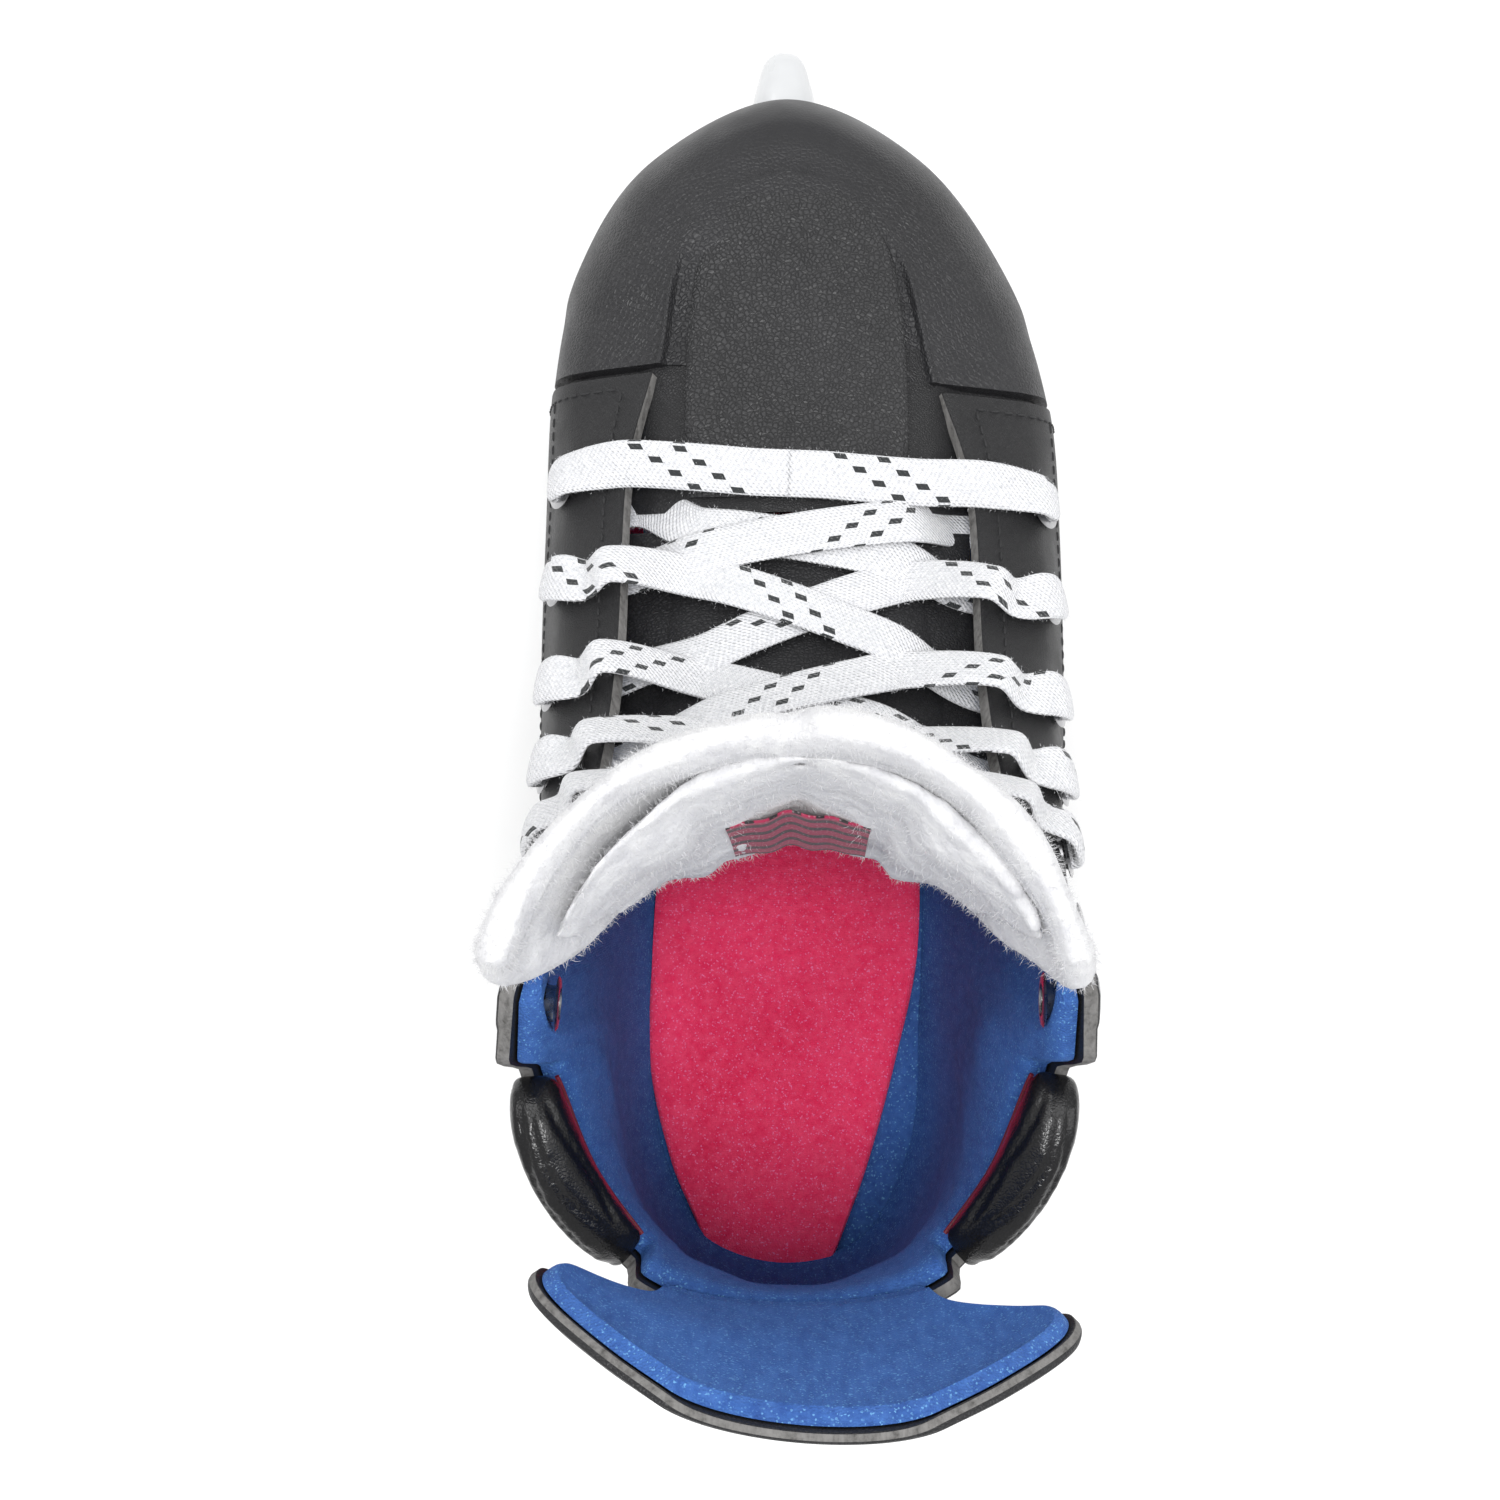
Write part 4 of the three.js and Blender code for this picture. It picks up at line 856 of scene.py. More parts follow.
def fuzz(obj, count, longest, seed, keep=None):
    """Adds loose fibres to a mesh: fine blades that lean out of its surface."""
    pick = np.random.default_rng(seed)
    places, normals = points_of(obj)
    allowed = np.arange(len(places)) if keep is None else np.flatnonzero(keep(places))
    chosen = pick.choice(allowed, count)
    lean = unit(normals[chosen] + pick.normal(size=(count, 3)) * 0.75)
    root = places[chosen] - normals[chosen] * 0.15 + pick.normal(size=(count, 3)) * 0.25
    across = unit(np.cross(lean, pick.normal(size=(count, 3)))) * 0.035
    reach = pick.uniform(0.35, 1, count)[:, None] * longest
    bend = unit(pick.normal(size=(count, 3))) * reach * 0.35
    knee = root + lean * reach * 0.55
    tip = root + lean * reach + bend
    corners = np.stack([root - across, root + across, knee + across * 0.8, knee - across * 0.8, tip], 1)
    corners = corners.reshape(-1, 3)
    first = np.arange(count)[:, None] * 5
    faces = [list(map(int, f)) for blade in ([0, 1, 2, 3], [3, 2, 4]) for f in first + blade]
    mesh = bpy.data.meshes.new("fibres")
    mesh.from_pydata([tuple(c) for c in corners * MM], [], faces)
    work = bmesh.new()
    work.from_mesh(obj.data)
    work.from_mesh(mesh)
    work.to_mesh(obj.data)
    work.free()
    bpy.data.meshes.remove(mesh)
    return obj


def waves(p, length, seed):
    """A soft, seeded ripple field over points, about 1 high."""
    pick = np.random.default_rng(seed)
    total = np.zeros(len(p))
    for _ in range(7):
        direction = unit(pick.normal(size=3)) * 2 * np.pi / length * pick.uniform(0.7, 1.5)
        total += np.sin(p @ direction + pick.uniform(0, 6.3))
    return total / 4


for name, side in sides:
    start, stop = pad_stations
    us = np.linspace(start, stop, 60)
    k = np.sqrt(np.maximum(0.03, 1 - ((2 * (us - start)) / (stop - start) - 1) ** 2))
    depth = quarter_thickness + clearance + liner_thickness
    section = [
        (pad_seat, 0.5, 0), (pad_seat + 0.02, 1.4, 0), (pad_seat + 0.05, 1.7, 0),
        (pad_seat + 0.075, 0.5, 0), (pad_seat + 0.083, 0, -2.5), (pad_seat + 0.08, 0, -5.5),
        (pad_seat + 0.055, -2.2, -depth), (pad_seat + 0.02, -2.8, -depth), (pad_seat, -1.5, -depth),
    ]
    ring = section + section[:2]
    around_ring = np.linspace(0, len(section), 49)
    at = through(np.arange(len(ring)), ring, around_ring[:-1])
    rings = np.array([
        offset(side, np.full(48, t), mix(pad_seat, at[:, 0], kk), at[:, 1] * kk + at[:, 2])
        for t, kk in zip(us, k)
    ])
    rings = np.concatenate([rings, rings[:, :1]], 1)
    pad = body(f"collar_pad_{name}", capped(rings), [gloss])
    inflate(pad, 1.5, 1.1)
    # Lengthwise creases, placed by the nearest point of the form that the pad was made from.
    tree = KDTree(len(us) * 48)
    for i in range(len(us)):
        for j in range(48):
            tree.insert(Vector(rings[i, j]), i * 48 + j)
    tree.balance()

    def creased(p, tree=tree, s=side):
        near = np.array([tree.find(Vector(q))[1] for q in p])
        run, turn = (near // 48) / 59, (near % 48) / 48
        total = np.zeros(len(p))
        fade = smooth(run / 0.25) * smooth((1 - run) / 0.2)
        creases = ((0.36, 0.05, 0.75), (0.5, -0.04, 0.55), (0.62, 0.06, 0.7), (0.2, -0.03, 0.35))
        for place, slope, deep in creases:
            line = place + slope * np.sin(run * 5 + place * 9) + 0.012 * waves(p, 14, 21)
            total -= deep * np.exp(-(((turn - line) / 0.022) ** 2)) * fade
        return total + 0.06 * waves(p, 7, 11 + s)

    displaced(pad, creased)
    modifier(pad, "SMOOTH", factor=0.5, iterations=2)
    bake(pad)
    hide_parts(f"ankle_pad_{name}")
    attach(pad, "boot")
    # Thin piping where the pad meets the knit.
    t = us[2:-2]
    line = offset(side, t, np.full(len(t), pad_seat - 0.006), -depth - 1.6 * k[2:-2])
    normals = np.tile([[0.0, 0.0, 1.0]], (len(t), 1))
    ring_points = ribbon_rings(line, normals, np.full(len(t), 0.8), np.full(len(t), 0.8), 10)
    trim = body(f"collar_piping_{name}", capped(ring_points), [piping])
    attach(trim, "boot")

# ---------------------------------------------------------------- heel counter and sole
us = two_sided(2.96, 0.03, 90)


def counter_at(depth):
    def at(u, v):
        reach = mix(0.45, 0.19, smooth(np.abs(u) / 2.9))
        round_off = 0.9 * round_over(1 - v, 0.08)
        return around(u, mix(0.012, reach, v), depth - (round_off if depth > 1 else 0))
    return at


counter = shell("heel_cup", counter_at(2.5), counter_at(0.7), us, np.linspace(0, 1, 26), [cap_black])
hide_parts("heel_counter")
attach(counter, "boot")


def plate(name, top, bottom, inset, paints, across=24, round_top=0.0):
    """A plate in the sole's outline, between heights above the sole edge."""
    ts = np.concatenate([[0], np.linspace(0.04, last_station - 0.04, 130), [last_station]])
    half = []
    for side in (-1, 1):
        p = form(side, ts, 0)
        n = form_normal(side, ts, 0.02)
        n[:, 2] = 0
        half.append(p - unit(n) * inset)
    for edge in half:
        edge[[0, -1], 0] = 0
    s = np.linspace(-1, 1, across)
    grid = half[0][:, None] + (half[1] - half[0])[:, None] * ((s + 1) / 2)[None, :, None]
    high, low = grid.copy(), grid.copy()
    edge_fall = round_top * np.abs(s) ** 8
    high[..., 2] += top - edge_fall[None]
    low[..., 2] += bottom
    rims = [np.stack([high[:, k], low[:, k]], 1) for k in (0, -1)]
    grids = [(high, 0), (low, 0)] + [(r, 0) for r in rims]
    return body(name, grids, paints)


up = (0, 0, 1)
sole = plate("outsole_plate", -clearance, -4.6, -1, [sole_black], round_top=0.6)
rivet_places = [(-22, 96), (22, 96), (-24, 30), (24, 30), (-17, -62), (17, -62), (-15, -98), (15, -98)]
post_places = [("front", 80), ("rear", -80)]
drilled(sole, [((x, y, 55), up, 2.3, 30, 30) for x, y in rivet_places] +
        [((0, y, 55), up, 3.8, 30, 30) for _, y in post_places])
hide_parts("outsole")
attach(sole, "boot")
floor_knit = plate("liner_floor", 4.1, 3.0, 3.1, [blue], across=30)
drilled(floor_knit, [((0, y, 45 + lift(y)), up, 6.7, 30, 16.9) for _, y in post_places])
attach(floor_knit, "boot")
footbed_edges = [
    [-109.5, -14.2, 8.4], [-108.8, -15.1, 9.3], [-100, -19, 12.8], [-87, -24.4, 17.4], [-66, -28.9, 23],
    [-44, -28.4, 27.6], [-10, -27, 29], [25, -30, 33], [55, -36, 38.5], [80, -36, 37], [100, -30, 30],
    [115, -17, 17], [119, -9, 9],
]


def footbed_at(height, upper=False):
    def at(y, s):
        left, right = through([r[0] for r in footbed_edges], [r[1:] for r in footbed_edges], y).T
        rolled = 0.9 * round_over(1 - np.abs(s), 0.04) if upper else 0
        cup = 0.5 * np.abs(s) ** 3 if upper else 0
        return np.stack([mix(left, right, (s + 1) / 2), y, sole_z + height + lift(y) - rolled + cup], 1)
    return at


footbed_ys = np.linspace(footbed_edges[0][0], footbed_edges[-1][0], 150)
footbed = shell("footbed", footbed_at(8.2, True), footbed_at(4.3), footbed_ys, np.linspace(-1, 1, 61), [red])
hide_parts("insole")
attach(footbed, "boot")

# ---------------------------------------------------------------- toe cap and vamp
vamp_line = [[30, 63.5], [49, 58.5], [65, 54], [79, 50], [90, 47.5], [105, 44], [118, 40.4]]
cap_front = last_station - 7.95


def vamp_top(y):
    return sole_z + graph(vamp_line, y)


def cap_wall(depth):
    def at(w, v):
        bumper = 0.55 * smooth((v - 0.30) / 0.03) * smooth((0.98 - v) / 0.1)
        bumper = bumper * smooth((cap_front - 0.5 - np.abs(w)) / 0.3)
        side = np.where(w < 0, -1.0, 1.0)
        return offset(side, last_station - np.abs(w), mix(0.012, 1, v), depth + (bumper if depth == 0 else 0))
    return at


def cap_crown(depth):
    wall = cap_wall(-depth)

    def at(w, s):
        left, right = wall(-w, np.ones_like(w)), wall(w, np.ones_like(w))
        p = mix(left, right, ((s + 1) / 2)[:, None])
        rise = np.maximum(0, vamp_top(p[:, 1]) - depth - p[:, 2]) * (1 - s * s) ** 0.8
        rear = smooth((106 - p[:, 1]) / 16)
        dip = (panel_thickness + clearance) * smooth((1 - np.abs(s)) / 0.09) * rear
        ridge = 1.1 * np.exp(-(((np.abs(s) - 0.965) / 0.035) ** 2)) * rear if depth == 0 else 0
        p[:, 2] += rise - dip + ridge
        return p
    return at


ws = two_sided(cap_front, 0.02, 90)
half_ws = np.concatenate([[0], np.linspace(0.02, cap_front, 90)])
vs = np.linspace(0, 1, 50)
ss = dense_edges(0.84, 0.82, 40, 16)
wall_out, wall_in = lay(cap_wall(0), ws, vs), lay(cap_wall(-cap_thickness), ws, vs)
crown_out, crown_in = lay(cap_crown(0), half_ws, ss), lay(cap_crown(cap_thickness), half_ws, ss)
edges = [
    np.stack([wall_out[:, 0], wall_in[:, 0]], 1),
    np.stack([wall_out[0], wall_in[0]], 1),
    np.stack([wall_out[-1], wall_in[-1]], 1),
    np.stack([crown_out[-1], crown_in[-1]], 1),
]
cap = body("toe_box", [(g, 0) for g in [wall_out, wall_in, crown_out, crown_in] + edges], [cap_skin])
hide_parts("toe_cap")
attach(cap, "boot")

# A strip behind the seam between the cap and each quarter closes it.
for name, side in sides:
    backing = shell(f"toe_seam_backing_{name}", lambda t, v, s=side: offset(s, t, v, -2.75),
                    lambda t, v, s=side: offset(s, t, v, -3.6),
                    np.linspace(7.56, 8.3, 20), np.linspace(0.02, 0.97, 50), [black])
    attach(backing, "boot")

panel_half = [[44, 19], [50, 21.5], [79, 22], [100, 19.5], [110, 14], [113, 9]]


def arch(x, y):
    return vamp_top(y) - 4 * (np.abs(x) / 30) ** 2


def panel_at(sink):
    def at(y, s):
        x = s * graph(panel_half, y)
        z = arch(x, y) - sink + smooth((y - 95) / 20) * 0.6
        if sink == 0:
            z = z - 0.5 * round_over(1 - np.abs(s), 0.05) + 0.25 * smooth(1 - np.abs(s))
        return np.stack([1.6 + x, y, z], 1)
    return at


panel = shell("vamp_panel_grained", panel_at(0), panel_at(panel_thickness), np.linspace(50, 113, 70),
              np.linspace(-1, 1, 61), [grained])
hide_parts("vamp_panel")
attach(panel, "boot")


def vamp_at(sink):
    def at(y, s):
        x = s * 35
        fall = 1.2 * np.abs(s) ** 2 + 2.2 * smooth((np.abs(x) - 27) / 8)
        return np.stack([1.6 + x, y, arch(x, y) - panel_thickness - clearance - sink - fall], 1)
    return at


vamp = shell("vamp_lining", vamp_at(0), vamp_at(1.8), np.linspace(47, 81, 30), np.linspace(-1, 1, 50),
             [black])
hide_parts("vamp")
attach(vamp, "boot")

# ---------------------------------------------------------------- tongue
tongue_rows = [
    [1.6, 45.4, 56.2, 25, 2.8], [1.8, 31, 63.8, 25, 3.6], [1.8, 14.5, 75.5, 27.5, 5],
    [1.6, 1.5, 89, 28, 6.4], [1.5, -6.5, 102, 32, 9], [1.3, -8, 115, 33.2, 13], [0.8, -4, 130, 36, 20],
    [0.2, 2, 148, 42, 34], [0, 6.5, 167, 48.5, 43], [0, 9.5, 183, 47.5, 40],
]
fold_angle = [[0, -62], [2, -52], [3.5, -40], [5, -18], [6.5, -6], [9, -4]]
wing_sweep = math.radians(76)


def tongue_face(s, q):
    row = through(range(10), tongue_rows, s)
    x, y, z, half, depth = row.T
    angle = np.radians(graph(fold_angle, s))
    back = depth * (1 - np.cos(q * wing_sweep)) / (1 - math.cos(wing_sweep))
    return np.stack([
        x + half * np.sin(q * wing_sweep) / math.sin(wing_sweep),
        y - back * np.cos(angle),
        z + sole_z + back * np.sin(angle),
    ], 1)


def tongue_normal(s, q):
    step = 0.02
    along = tongue_face(np.minimum(s + step, 9), q) - tongue_face(np.maximum(s - step, 0), q)
    across = tongue_face(s, q + step) - tongue_face(s, q - step)
    return unit(np.cross(along, across))


def tongue_at(s, q, depth):
    s, q, depth = (a.ravel().astype(float) for a in np.broadcast_arrays(s, q, depth))
    return tongue_face(s, q) - tongue_normal(s, q) * depth[:, None]


felt_from = tongue_shell + clearance


def felt_depth(s):
    return mix(tongue_felt * 0.75, tongue_felt, smooth((s - 2) / 4))


def lobes(q):
    """The two lobes of the tongue's top, with a small nick between them."""
    return -0.3 * np.exp(-((q + 0.02) / 0.055) ** 2) - 0.1 * np.exp(-((q + 0.02) / 0.2) ** 2)


def flare(s, q, depth):
    """The same place, with the top edge shaped into lobes and its inner wing spread."""
    rise = smooth((s - 7.2) / 1.7)
    p = tongue_at(s + rise * lobes(q), q, depth)
    p[:, 0] -= 4.5 * smooth((s - 6.6) / 2) * smooth(-q / 0.9)
    return p


def felt_roll(s, q):
    """How far the felt's faces roll in towards its edges."""
    top = 2.4 * round_over(8.9 - s, 0.28)
    side = 2.2 * round_over(1 - np.abs(q), 0.05)
    return np.maximum(top, side)


def felt_outer(s, q):
    return flare(s, q, felt_from + felt_roll(s, q))


def felt_inner(s, q):
    return flare(s, q, felt_from + felt_depth(s) - felt_roll(s, q))


s_list = np.concatenate([np.linspace(0, 8.5, 120), np.linspace(8.52, 8.9, 18)])
q_list = dense_edges(0.94, 0.93, 110, 8)
tongue = shell("tongue_felt", felt_outer, felt_inner, s_list, q_list, [wool])
displaced(tongue, lambda p: (0.9 * waves(p, 34, 3) + 0.35 * waves(p, 17, 4) + 0.05 * waves(p, 3, 6))
          * smooth((p[:, 2] - 165) / 25))
fuzz(tongue, 26000, 1.7, 31, lambda p: p[:, 2] > 172)
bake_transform(tongue)
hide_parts("tongue_felt_lower", "tongue_felt_upper")


def vinyl_outer(s, q):
    edge = 0.9 * round_over(7.2 - s, 0.1)
    return tongue_at(s, q * 0.95, edge)


vinyl_stations = np.concatenate([np.linspace(0, 7.05, 100), np.linspace(7.08, 7.2, 8)])
vinyl = shell("tongue_vinyl_face", vinyl_outer, lambda s, q: tongue_at(s, q * 0.95, tongue_shell),
              vinyl_stations, np.linspace(-1, 1, 90), [tongue_vinyl])
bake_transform(vinyl)
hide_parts("tongue_shell_lower", "tongue_shell_upper")

# Thin gussets carry the tongue's sides out under the facings.
for name, side in sides:
    def gusset(depth, side=side):
        def at(s, k):
            p = tongue_at(s, np.full_like(s, side * 0.9), 0.9 + depth)
            p[:, 0] += side * 11 * k
            p[:, 2] -= 2.4 * k + 1.5 * k**2
            return p
        return at

    wing = shell(f"tongue_gusset_{name}", gusset(0), gusset(0.9), np.linspace(0.05, 4.3, 70),
                 np.linspace(0, 1, 14), [tongue_vinyl])
    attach(wing, "boot")

pad_from = felt_from + tongue_felt + clearance


def pad_inner(s, q):
    rounded = np.sqrt(np.maximum(0.04, 1 - np.abs(q) ** 6))
    mound = np.maximum(0.55, rounded * np.sqrt(np.clip((8.35 - s) / 0.6, 0.02, 1)))
    channel = 1 - 0.4 * np.exp(-(((np.abs(q) - 0.42) / 0.06) ** 2)) - 0.35 * np.exp(-((q / 0.05) ** 2))
    lump = 0.75 + 0.95 * np.exp(-(((q + 0.5) / 0.24) ** 2)) + 1.0 * np.exp(-(((q - 0.56) / 0.24) ** 2))
    return tongue_at(s, q * 0.86, pad_from + 3.1 * mound * channel * lump)


inner_pad = shell("tongue_inner_pad", lambda s, q: tongue_at(s, q * 0.86, pad_from), pad_inner,
                  np.linspace(5.45, 8.35, 50), np.linspace(-1, 1, 80), [wool])
inflate(inner_pad, 1.4, 1.6, 3.0)
displaced(inner_pad, lambda p: 0.7 * waves(p, 26, 8) + 0.1 * waves(p, 8, 9) + 0.05 * waves(p, 3, 6))
fuzz(inner_pad, 12000, 1.6, 32)
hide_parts("tongue_pad")
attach(inner_pad, "tongue_flap")


def label_at(depth):
    def at(s, q):
        buckle = 0.5 * np.sin(q * 9.5) * smooth(1 - np.abs(q))
        return tongue_at(s + 0.05 * np.cos(q * 6), q * 0.3, pad_from + 4.0 + depth + buckle)
    return at


size_label = shell("size_label", label_at(0), label_at(0.5), np.linspace(5.9, 6.9, 16),
                   np.linspace(-1, 1, 60), [label])
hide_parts("tongue_label")
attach(size_label, "tongue_flap")

# ---------------------------------------------------------------- eyelets
for (side, row), (centre, normal) in eyelets.items():
    name = "medial" if side < 0 else "lateral"
    bore, flange = eyelet_hole / 2, eyelet_flange / 2
    top, bottom = outer_relief, -facing_depth - inner_relief
    profile = [
        (bore, bottom - 0.3), (bore + 0.25, bottom - 0.62), (flange - 0.5, bottom - 0.5),
        (flange, bottom - 0.2), (flange - 0.2, bottom), (bore + 0.7, bottom), (bore + 0.5, bottom + 0.3),
        (bore + 0.5, top - 0.3), (bore + 0.8, top), (flange - 0.25, top), (flange, top + 0.18),
        (flange - 0.6, top + 0.5), (bore + 0.5, top + 0.7), (bore, top + 0.35), (bore, bottom - 0.3),
    ]
    axis = unit(normal)
    a = unit(np.cross(axis, [0.3, 0.2, 1.0]))
    b = np.cross(axis, a)
    w = np.linspace(0, 2 * np.pi, 37)
    spin = a * np.cos(w)[:, None] + b * np.sin(w)[:, None]
    grid = np.array([centre + axis * h + spin * r for r, h in profile])
    ring = body(f"eyelet_ring_{name}_{row}", [(grid, 0)], [nickel], sharp=35)
    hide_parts(f"eyelet_{name}_{row}")
    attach(ring, "boot")

# ---------------------------------------------------------------- laces
lace_gap = clearance + lace_thickness / 2
lace_top = outer_relief + flange_thickness + lace_gap
eyelet_bottom = -facing_depth - inner_relief - flange_thickness
lace_bottom = eyelet_bottom - lace_gap
strand_reach = [0, 28.5, 28.3, 25.5, 22.2, 17.8]
tongue_row = [0, 0.02, 0.7, 1.95, 2.9, 4.2]
overstep = lace_thickness + 0.75


def to_toe(d):
    """The same line, pointing to the toe."""
    return -d if d[1] - 0.6 * d[2] < 0 else d


def turn_in(eyelet, target, top):
    """Where the lace turns from a strand towards a target into the eyelet."""
    centre, normal = eyelet
    d = target - centre
    out = unit(d - normal * (d @ normal))
    wide = to_toe(unit(np.cross(out, normal)))
    height = lace_top if top else lace_bottom

    def at(along, sink):
        return centre + out * along + normal * (height - (sink if top else -sink))
    if not top:
        return [(at(5.4, 0), wide, lace_width, lace_thickness), (at(2, -0.15), wide, 5.2, 1.9),
                (at(0, 0.9), wide, 3.4, 2.8)]
    return [(at(5.4, 0), wide, lace_width, lace_thickness), (at(1.4, -0.7), wide, 9.2, 1.9),
            (at(-0.9, 0.3), wide, 7.2, 2.4)]


def over_tongue(x, s, height):
    """A point at this height over the tongue's face, and the face's normal there."""
    middle, _, _, half, _ = through(range(10), tongue_rows, s)[0]
    q = math.asin(min(1, max(-1, (x - middle) / half * math.sin(wing_sweep)))) / wing_sweep
    q = min(0.9, max(-0.9, q))
    s, q = np.array([s]), np.array([q])
    return tongue_at(s, q, -height)[0], tongue_normal(s, q)[0]


def strand(side_a, row_a, top_a, side_b, row_b, top_b, over):
    """A strand from one eyelet to another; each end lies over its facing (top) or under it."""
    def on_facing(side, row, other, top, v):
        t = mix(row_station(row), row_station(other), 0.14)
        slack = 1.5 if v == 1 else 0
        height = lace_gap + 1.1 + slack if top else -facing_depth - lace_gap - 1.3 - slack
        return offset(side, t, v, height)[0], form_normal(side, t, v)[0]

    def middle(k):
        height = lace_gap + 1.1 + (overstep if over else 0)
        x = mix(side_a * strand_reach[row_a], side_b * strand_reach[row_b], k) + 1.8
        return over_tongue(x, mix(tongue_row[row_a], tongue_row[row_b], k), height)

    line = [on_facing(side_a, row_a, row_b, top_a, 0.91), on_facing(side_a, row_a, row_b, top_a, 1)]
    line += [middle(k) for k in (0.14, 0.3, 0.5, 0.7, 0.86)]
    line += [on_facing(side_b, row_b, row_a, top_b, 1), on_facing(side_b, row_b, row_a, top_b, 0.91)]
    points = np.array([p for p, _ in line])
    ahead = unit(points[np.minimum(np.arange(9) + 1, 8)] - points[np.maximum(np.arange(9) - 1, 0)])
    wides = [to_toe(unit(np.cross(d, away))) for (_, away), d in zip(line, ahead)]
    return [(p, wide, lace_width, lace_thickness) for p, wide in zip(points, wides)]


def lace_object(name, stops, hand, per_mm):
    """A ribbon along stops, and its line; hand turns its pattern over."""
    points = np.array([s[0] for s in stops])
    run = np.concatenate([[0], np.cumsum(np.linalg.norm(np.diff(points, axis=0), axis=1) ** 0.75)])
    wides = [unit(np.asarray(stops[0][1], float))]
    for s in stops[1:]:
        wide = unit(np.asarray(s[1], float))
        wides.append(wide if wide @ wides[-1] > 0 else -wide)
    count = int(np.linalg.norm(np.diff(points, axis=0), axis=1).sum() * per_mm)
    t = np.linspace(0, run[-1], count)
    line = through(run, points, t)
    wide = unit(through(run, wides, t))
    width = np.interp(t, run, [s[2] for s in stops])
    thick = np.interp(t, run, [s[3] for s in stops])
    rings = ribbon_rings(line, wide * hand, width, thick)
    return body(name, capped(rings), [cotton], sharp=180), line


coil_place = (1.6, 72)
routes = {
    "lateral": (68.65, [[35.4, -23, 143], [34.2, -21, 126], [33.4, -12, 106], [33.2, 4, 88],
                        [33, 22, 75.5], [32.7, 41, 70], [32.1, 59.3, 68.7]]),
    "medial": (78.4, [[-32.6, -23, 143], [-31.2, -21, 126], [-30.4, -12, 107], [-29.9, 4, 92],
                      [-29.5, 22, 83], [-29.2, 41, 79.4], [-28.9, 59.3, 78.5]]),
}


def coil_point(side, radius, angle, level):
    return [coil_place[0] + side * radius * math.cos(angle), coil_place[1] + radius * math.sin(angle), level]


for name, side in sides:
    route = [(side if row % 2 else -side, row) for row in range(1, 6)]
    bar_edge = offset(side, row_station(1), 1, lace_gap + 1.9)[0]
    bar_y = bar_edge[1]
    middle_y = (bar_y + offset(-side, row_station(1), 1, lace_gap + 1.9)[0][1]) / 2
    across = np.array([0.0, 1.0, 0.0])
    middle_z = float(vamp_top(np.array([middle_y]))[0]) + lace_gap + 0.9
    bar = [[side * x, mix(middle_y, bar_y, y), mix(middle_z, bar_edge[2], z)]
           for x, y, z in ((0, 0, 0), (7, 0.15, 0.03), (14, 0.45, 0.1), (26, 0.9, 0.35))]
    stops = [(np.array(p), across, lace_width, lace_thickness) for p in bar]
    stops.append((bar_edge, across, lace_width, lace_thickness))
    stops += turn_in(eyelets[side, 1], bar_edge, True)
    for i, key in enumerate(route):
        centre, normal = eyelets[key]
        goes_up = 0 < i < 4
        inside = centre + normal * (outer_relief + flange_thickness + eyelet_bottom) / 2
        stops.append((inside, stops[-1][1], 3.6, 3.1))
        if i == 4:
            break
        after = route[i + 1]
        next_top = i + 1 == 4
        run = strand(*key, goes_up, *after, next_top, side > 0)
        stops += turn_in(eyelets[key], run[0][0], goes_up)[::-1] + run
        stops += turn_in(eyelets[after], run[-1][0], next_top)
    centre, normal = eyelets[route[-1]]
    exit_point = centre + normal * (eyelet_bottom - 1)
    stops.append((exit_point, stops[-1][1], 3.6, 3.0))
    laced, _ = lace_object(f"laced_half_{name}", stops, side, 1.1)
    fuzz(laced, 9000, 0.7, 33 + side)
    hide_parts(f"lace_{name}")
    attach(laced, "boot")

    # The free end: down inside the boot, then a flat coil on edge in the toe, ending in its aglet.
    level, down = routes[name]
    turns = np.radians(np.arange(-10, 800, 6))
    radius = np.interp(np.arange(len(turns)), [0, len(turns) - 1], [30.5, 22.2])
    coil = [coil_point(side, r, a, level) for a, r in zip(turns, radius)]
    for degrees, r in ((807, 21.2), (816, 20.3), (825, 19.4), (830, 19.0)):
        coil.append(coil_point(side, r, math.radians(degrees), level))
    places = [exit_point - normal * clearance, exit_point - normal * 3.5]
    places += [np.array(p, float) for p in down + coil]
    ends = []
    for i, p in enumerate(places):
        d = unit(places[min(i + 1, len(places) - 1)] - places[max(i - 1, 0)])
        upright = unit(np.cross([1.0, 0, 0], d)) if i < 9 else np.array([0.0, 0, 1.0])
        if i < 2:
            width, thick = [(3.6, 3.0), (5.0, 2.4)][i]
        else:
            taper = max(0, (i - len(places) + 5) / 4)
            width, thick = mix(lace_width, 2.6, taper), mix(lace_thickness, 2.2, taper)
        ends.append((p, upright, width, thick))
    free, line = lace_object(f"lace_free_{name}", ends, side, 0.9)
    tip = [coil_point(side, 18.9, a, level) for a in np.radians(np.linspace(108, 158, 14))]
    radii = np.array([0.5, 1.2] + [1.4] * 10 + [1.25, 0.7]) * 2
    tube = ribbon_rings(tip, np.tile([[0, 0, 1.0]], (14, 1)), radii, radii, 18)
    sheath = body(f"aglet_tip_{name}", capped(tube), [aglet_paint])
    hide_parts(f"aglet_{name}")
    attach(sheath, "boot")
    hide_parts(f"lace_end_{name}", f"lace_coil_{name}")
    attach(free, "boot")

# ---------------------------------------------------------------- tendon guard
guard_seam = form(1, 0, 1)[0]
guard_rows = [
    [0, 0, 25.5, 4.4], [0.16, -0.4, 28.5, 5], [0.34, -1, 38, 9.5], [0.5, -1.8, 44, 13.5],
    [0.68, -2.8, 43, 12.5], [0.86, -4, 33, 8.5], [1, -5, 21, 4],
]
guard_sweep = math.radians(70)


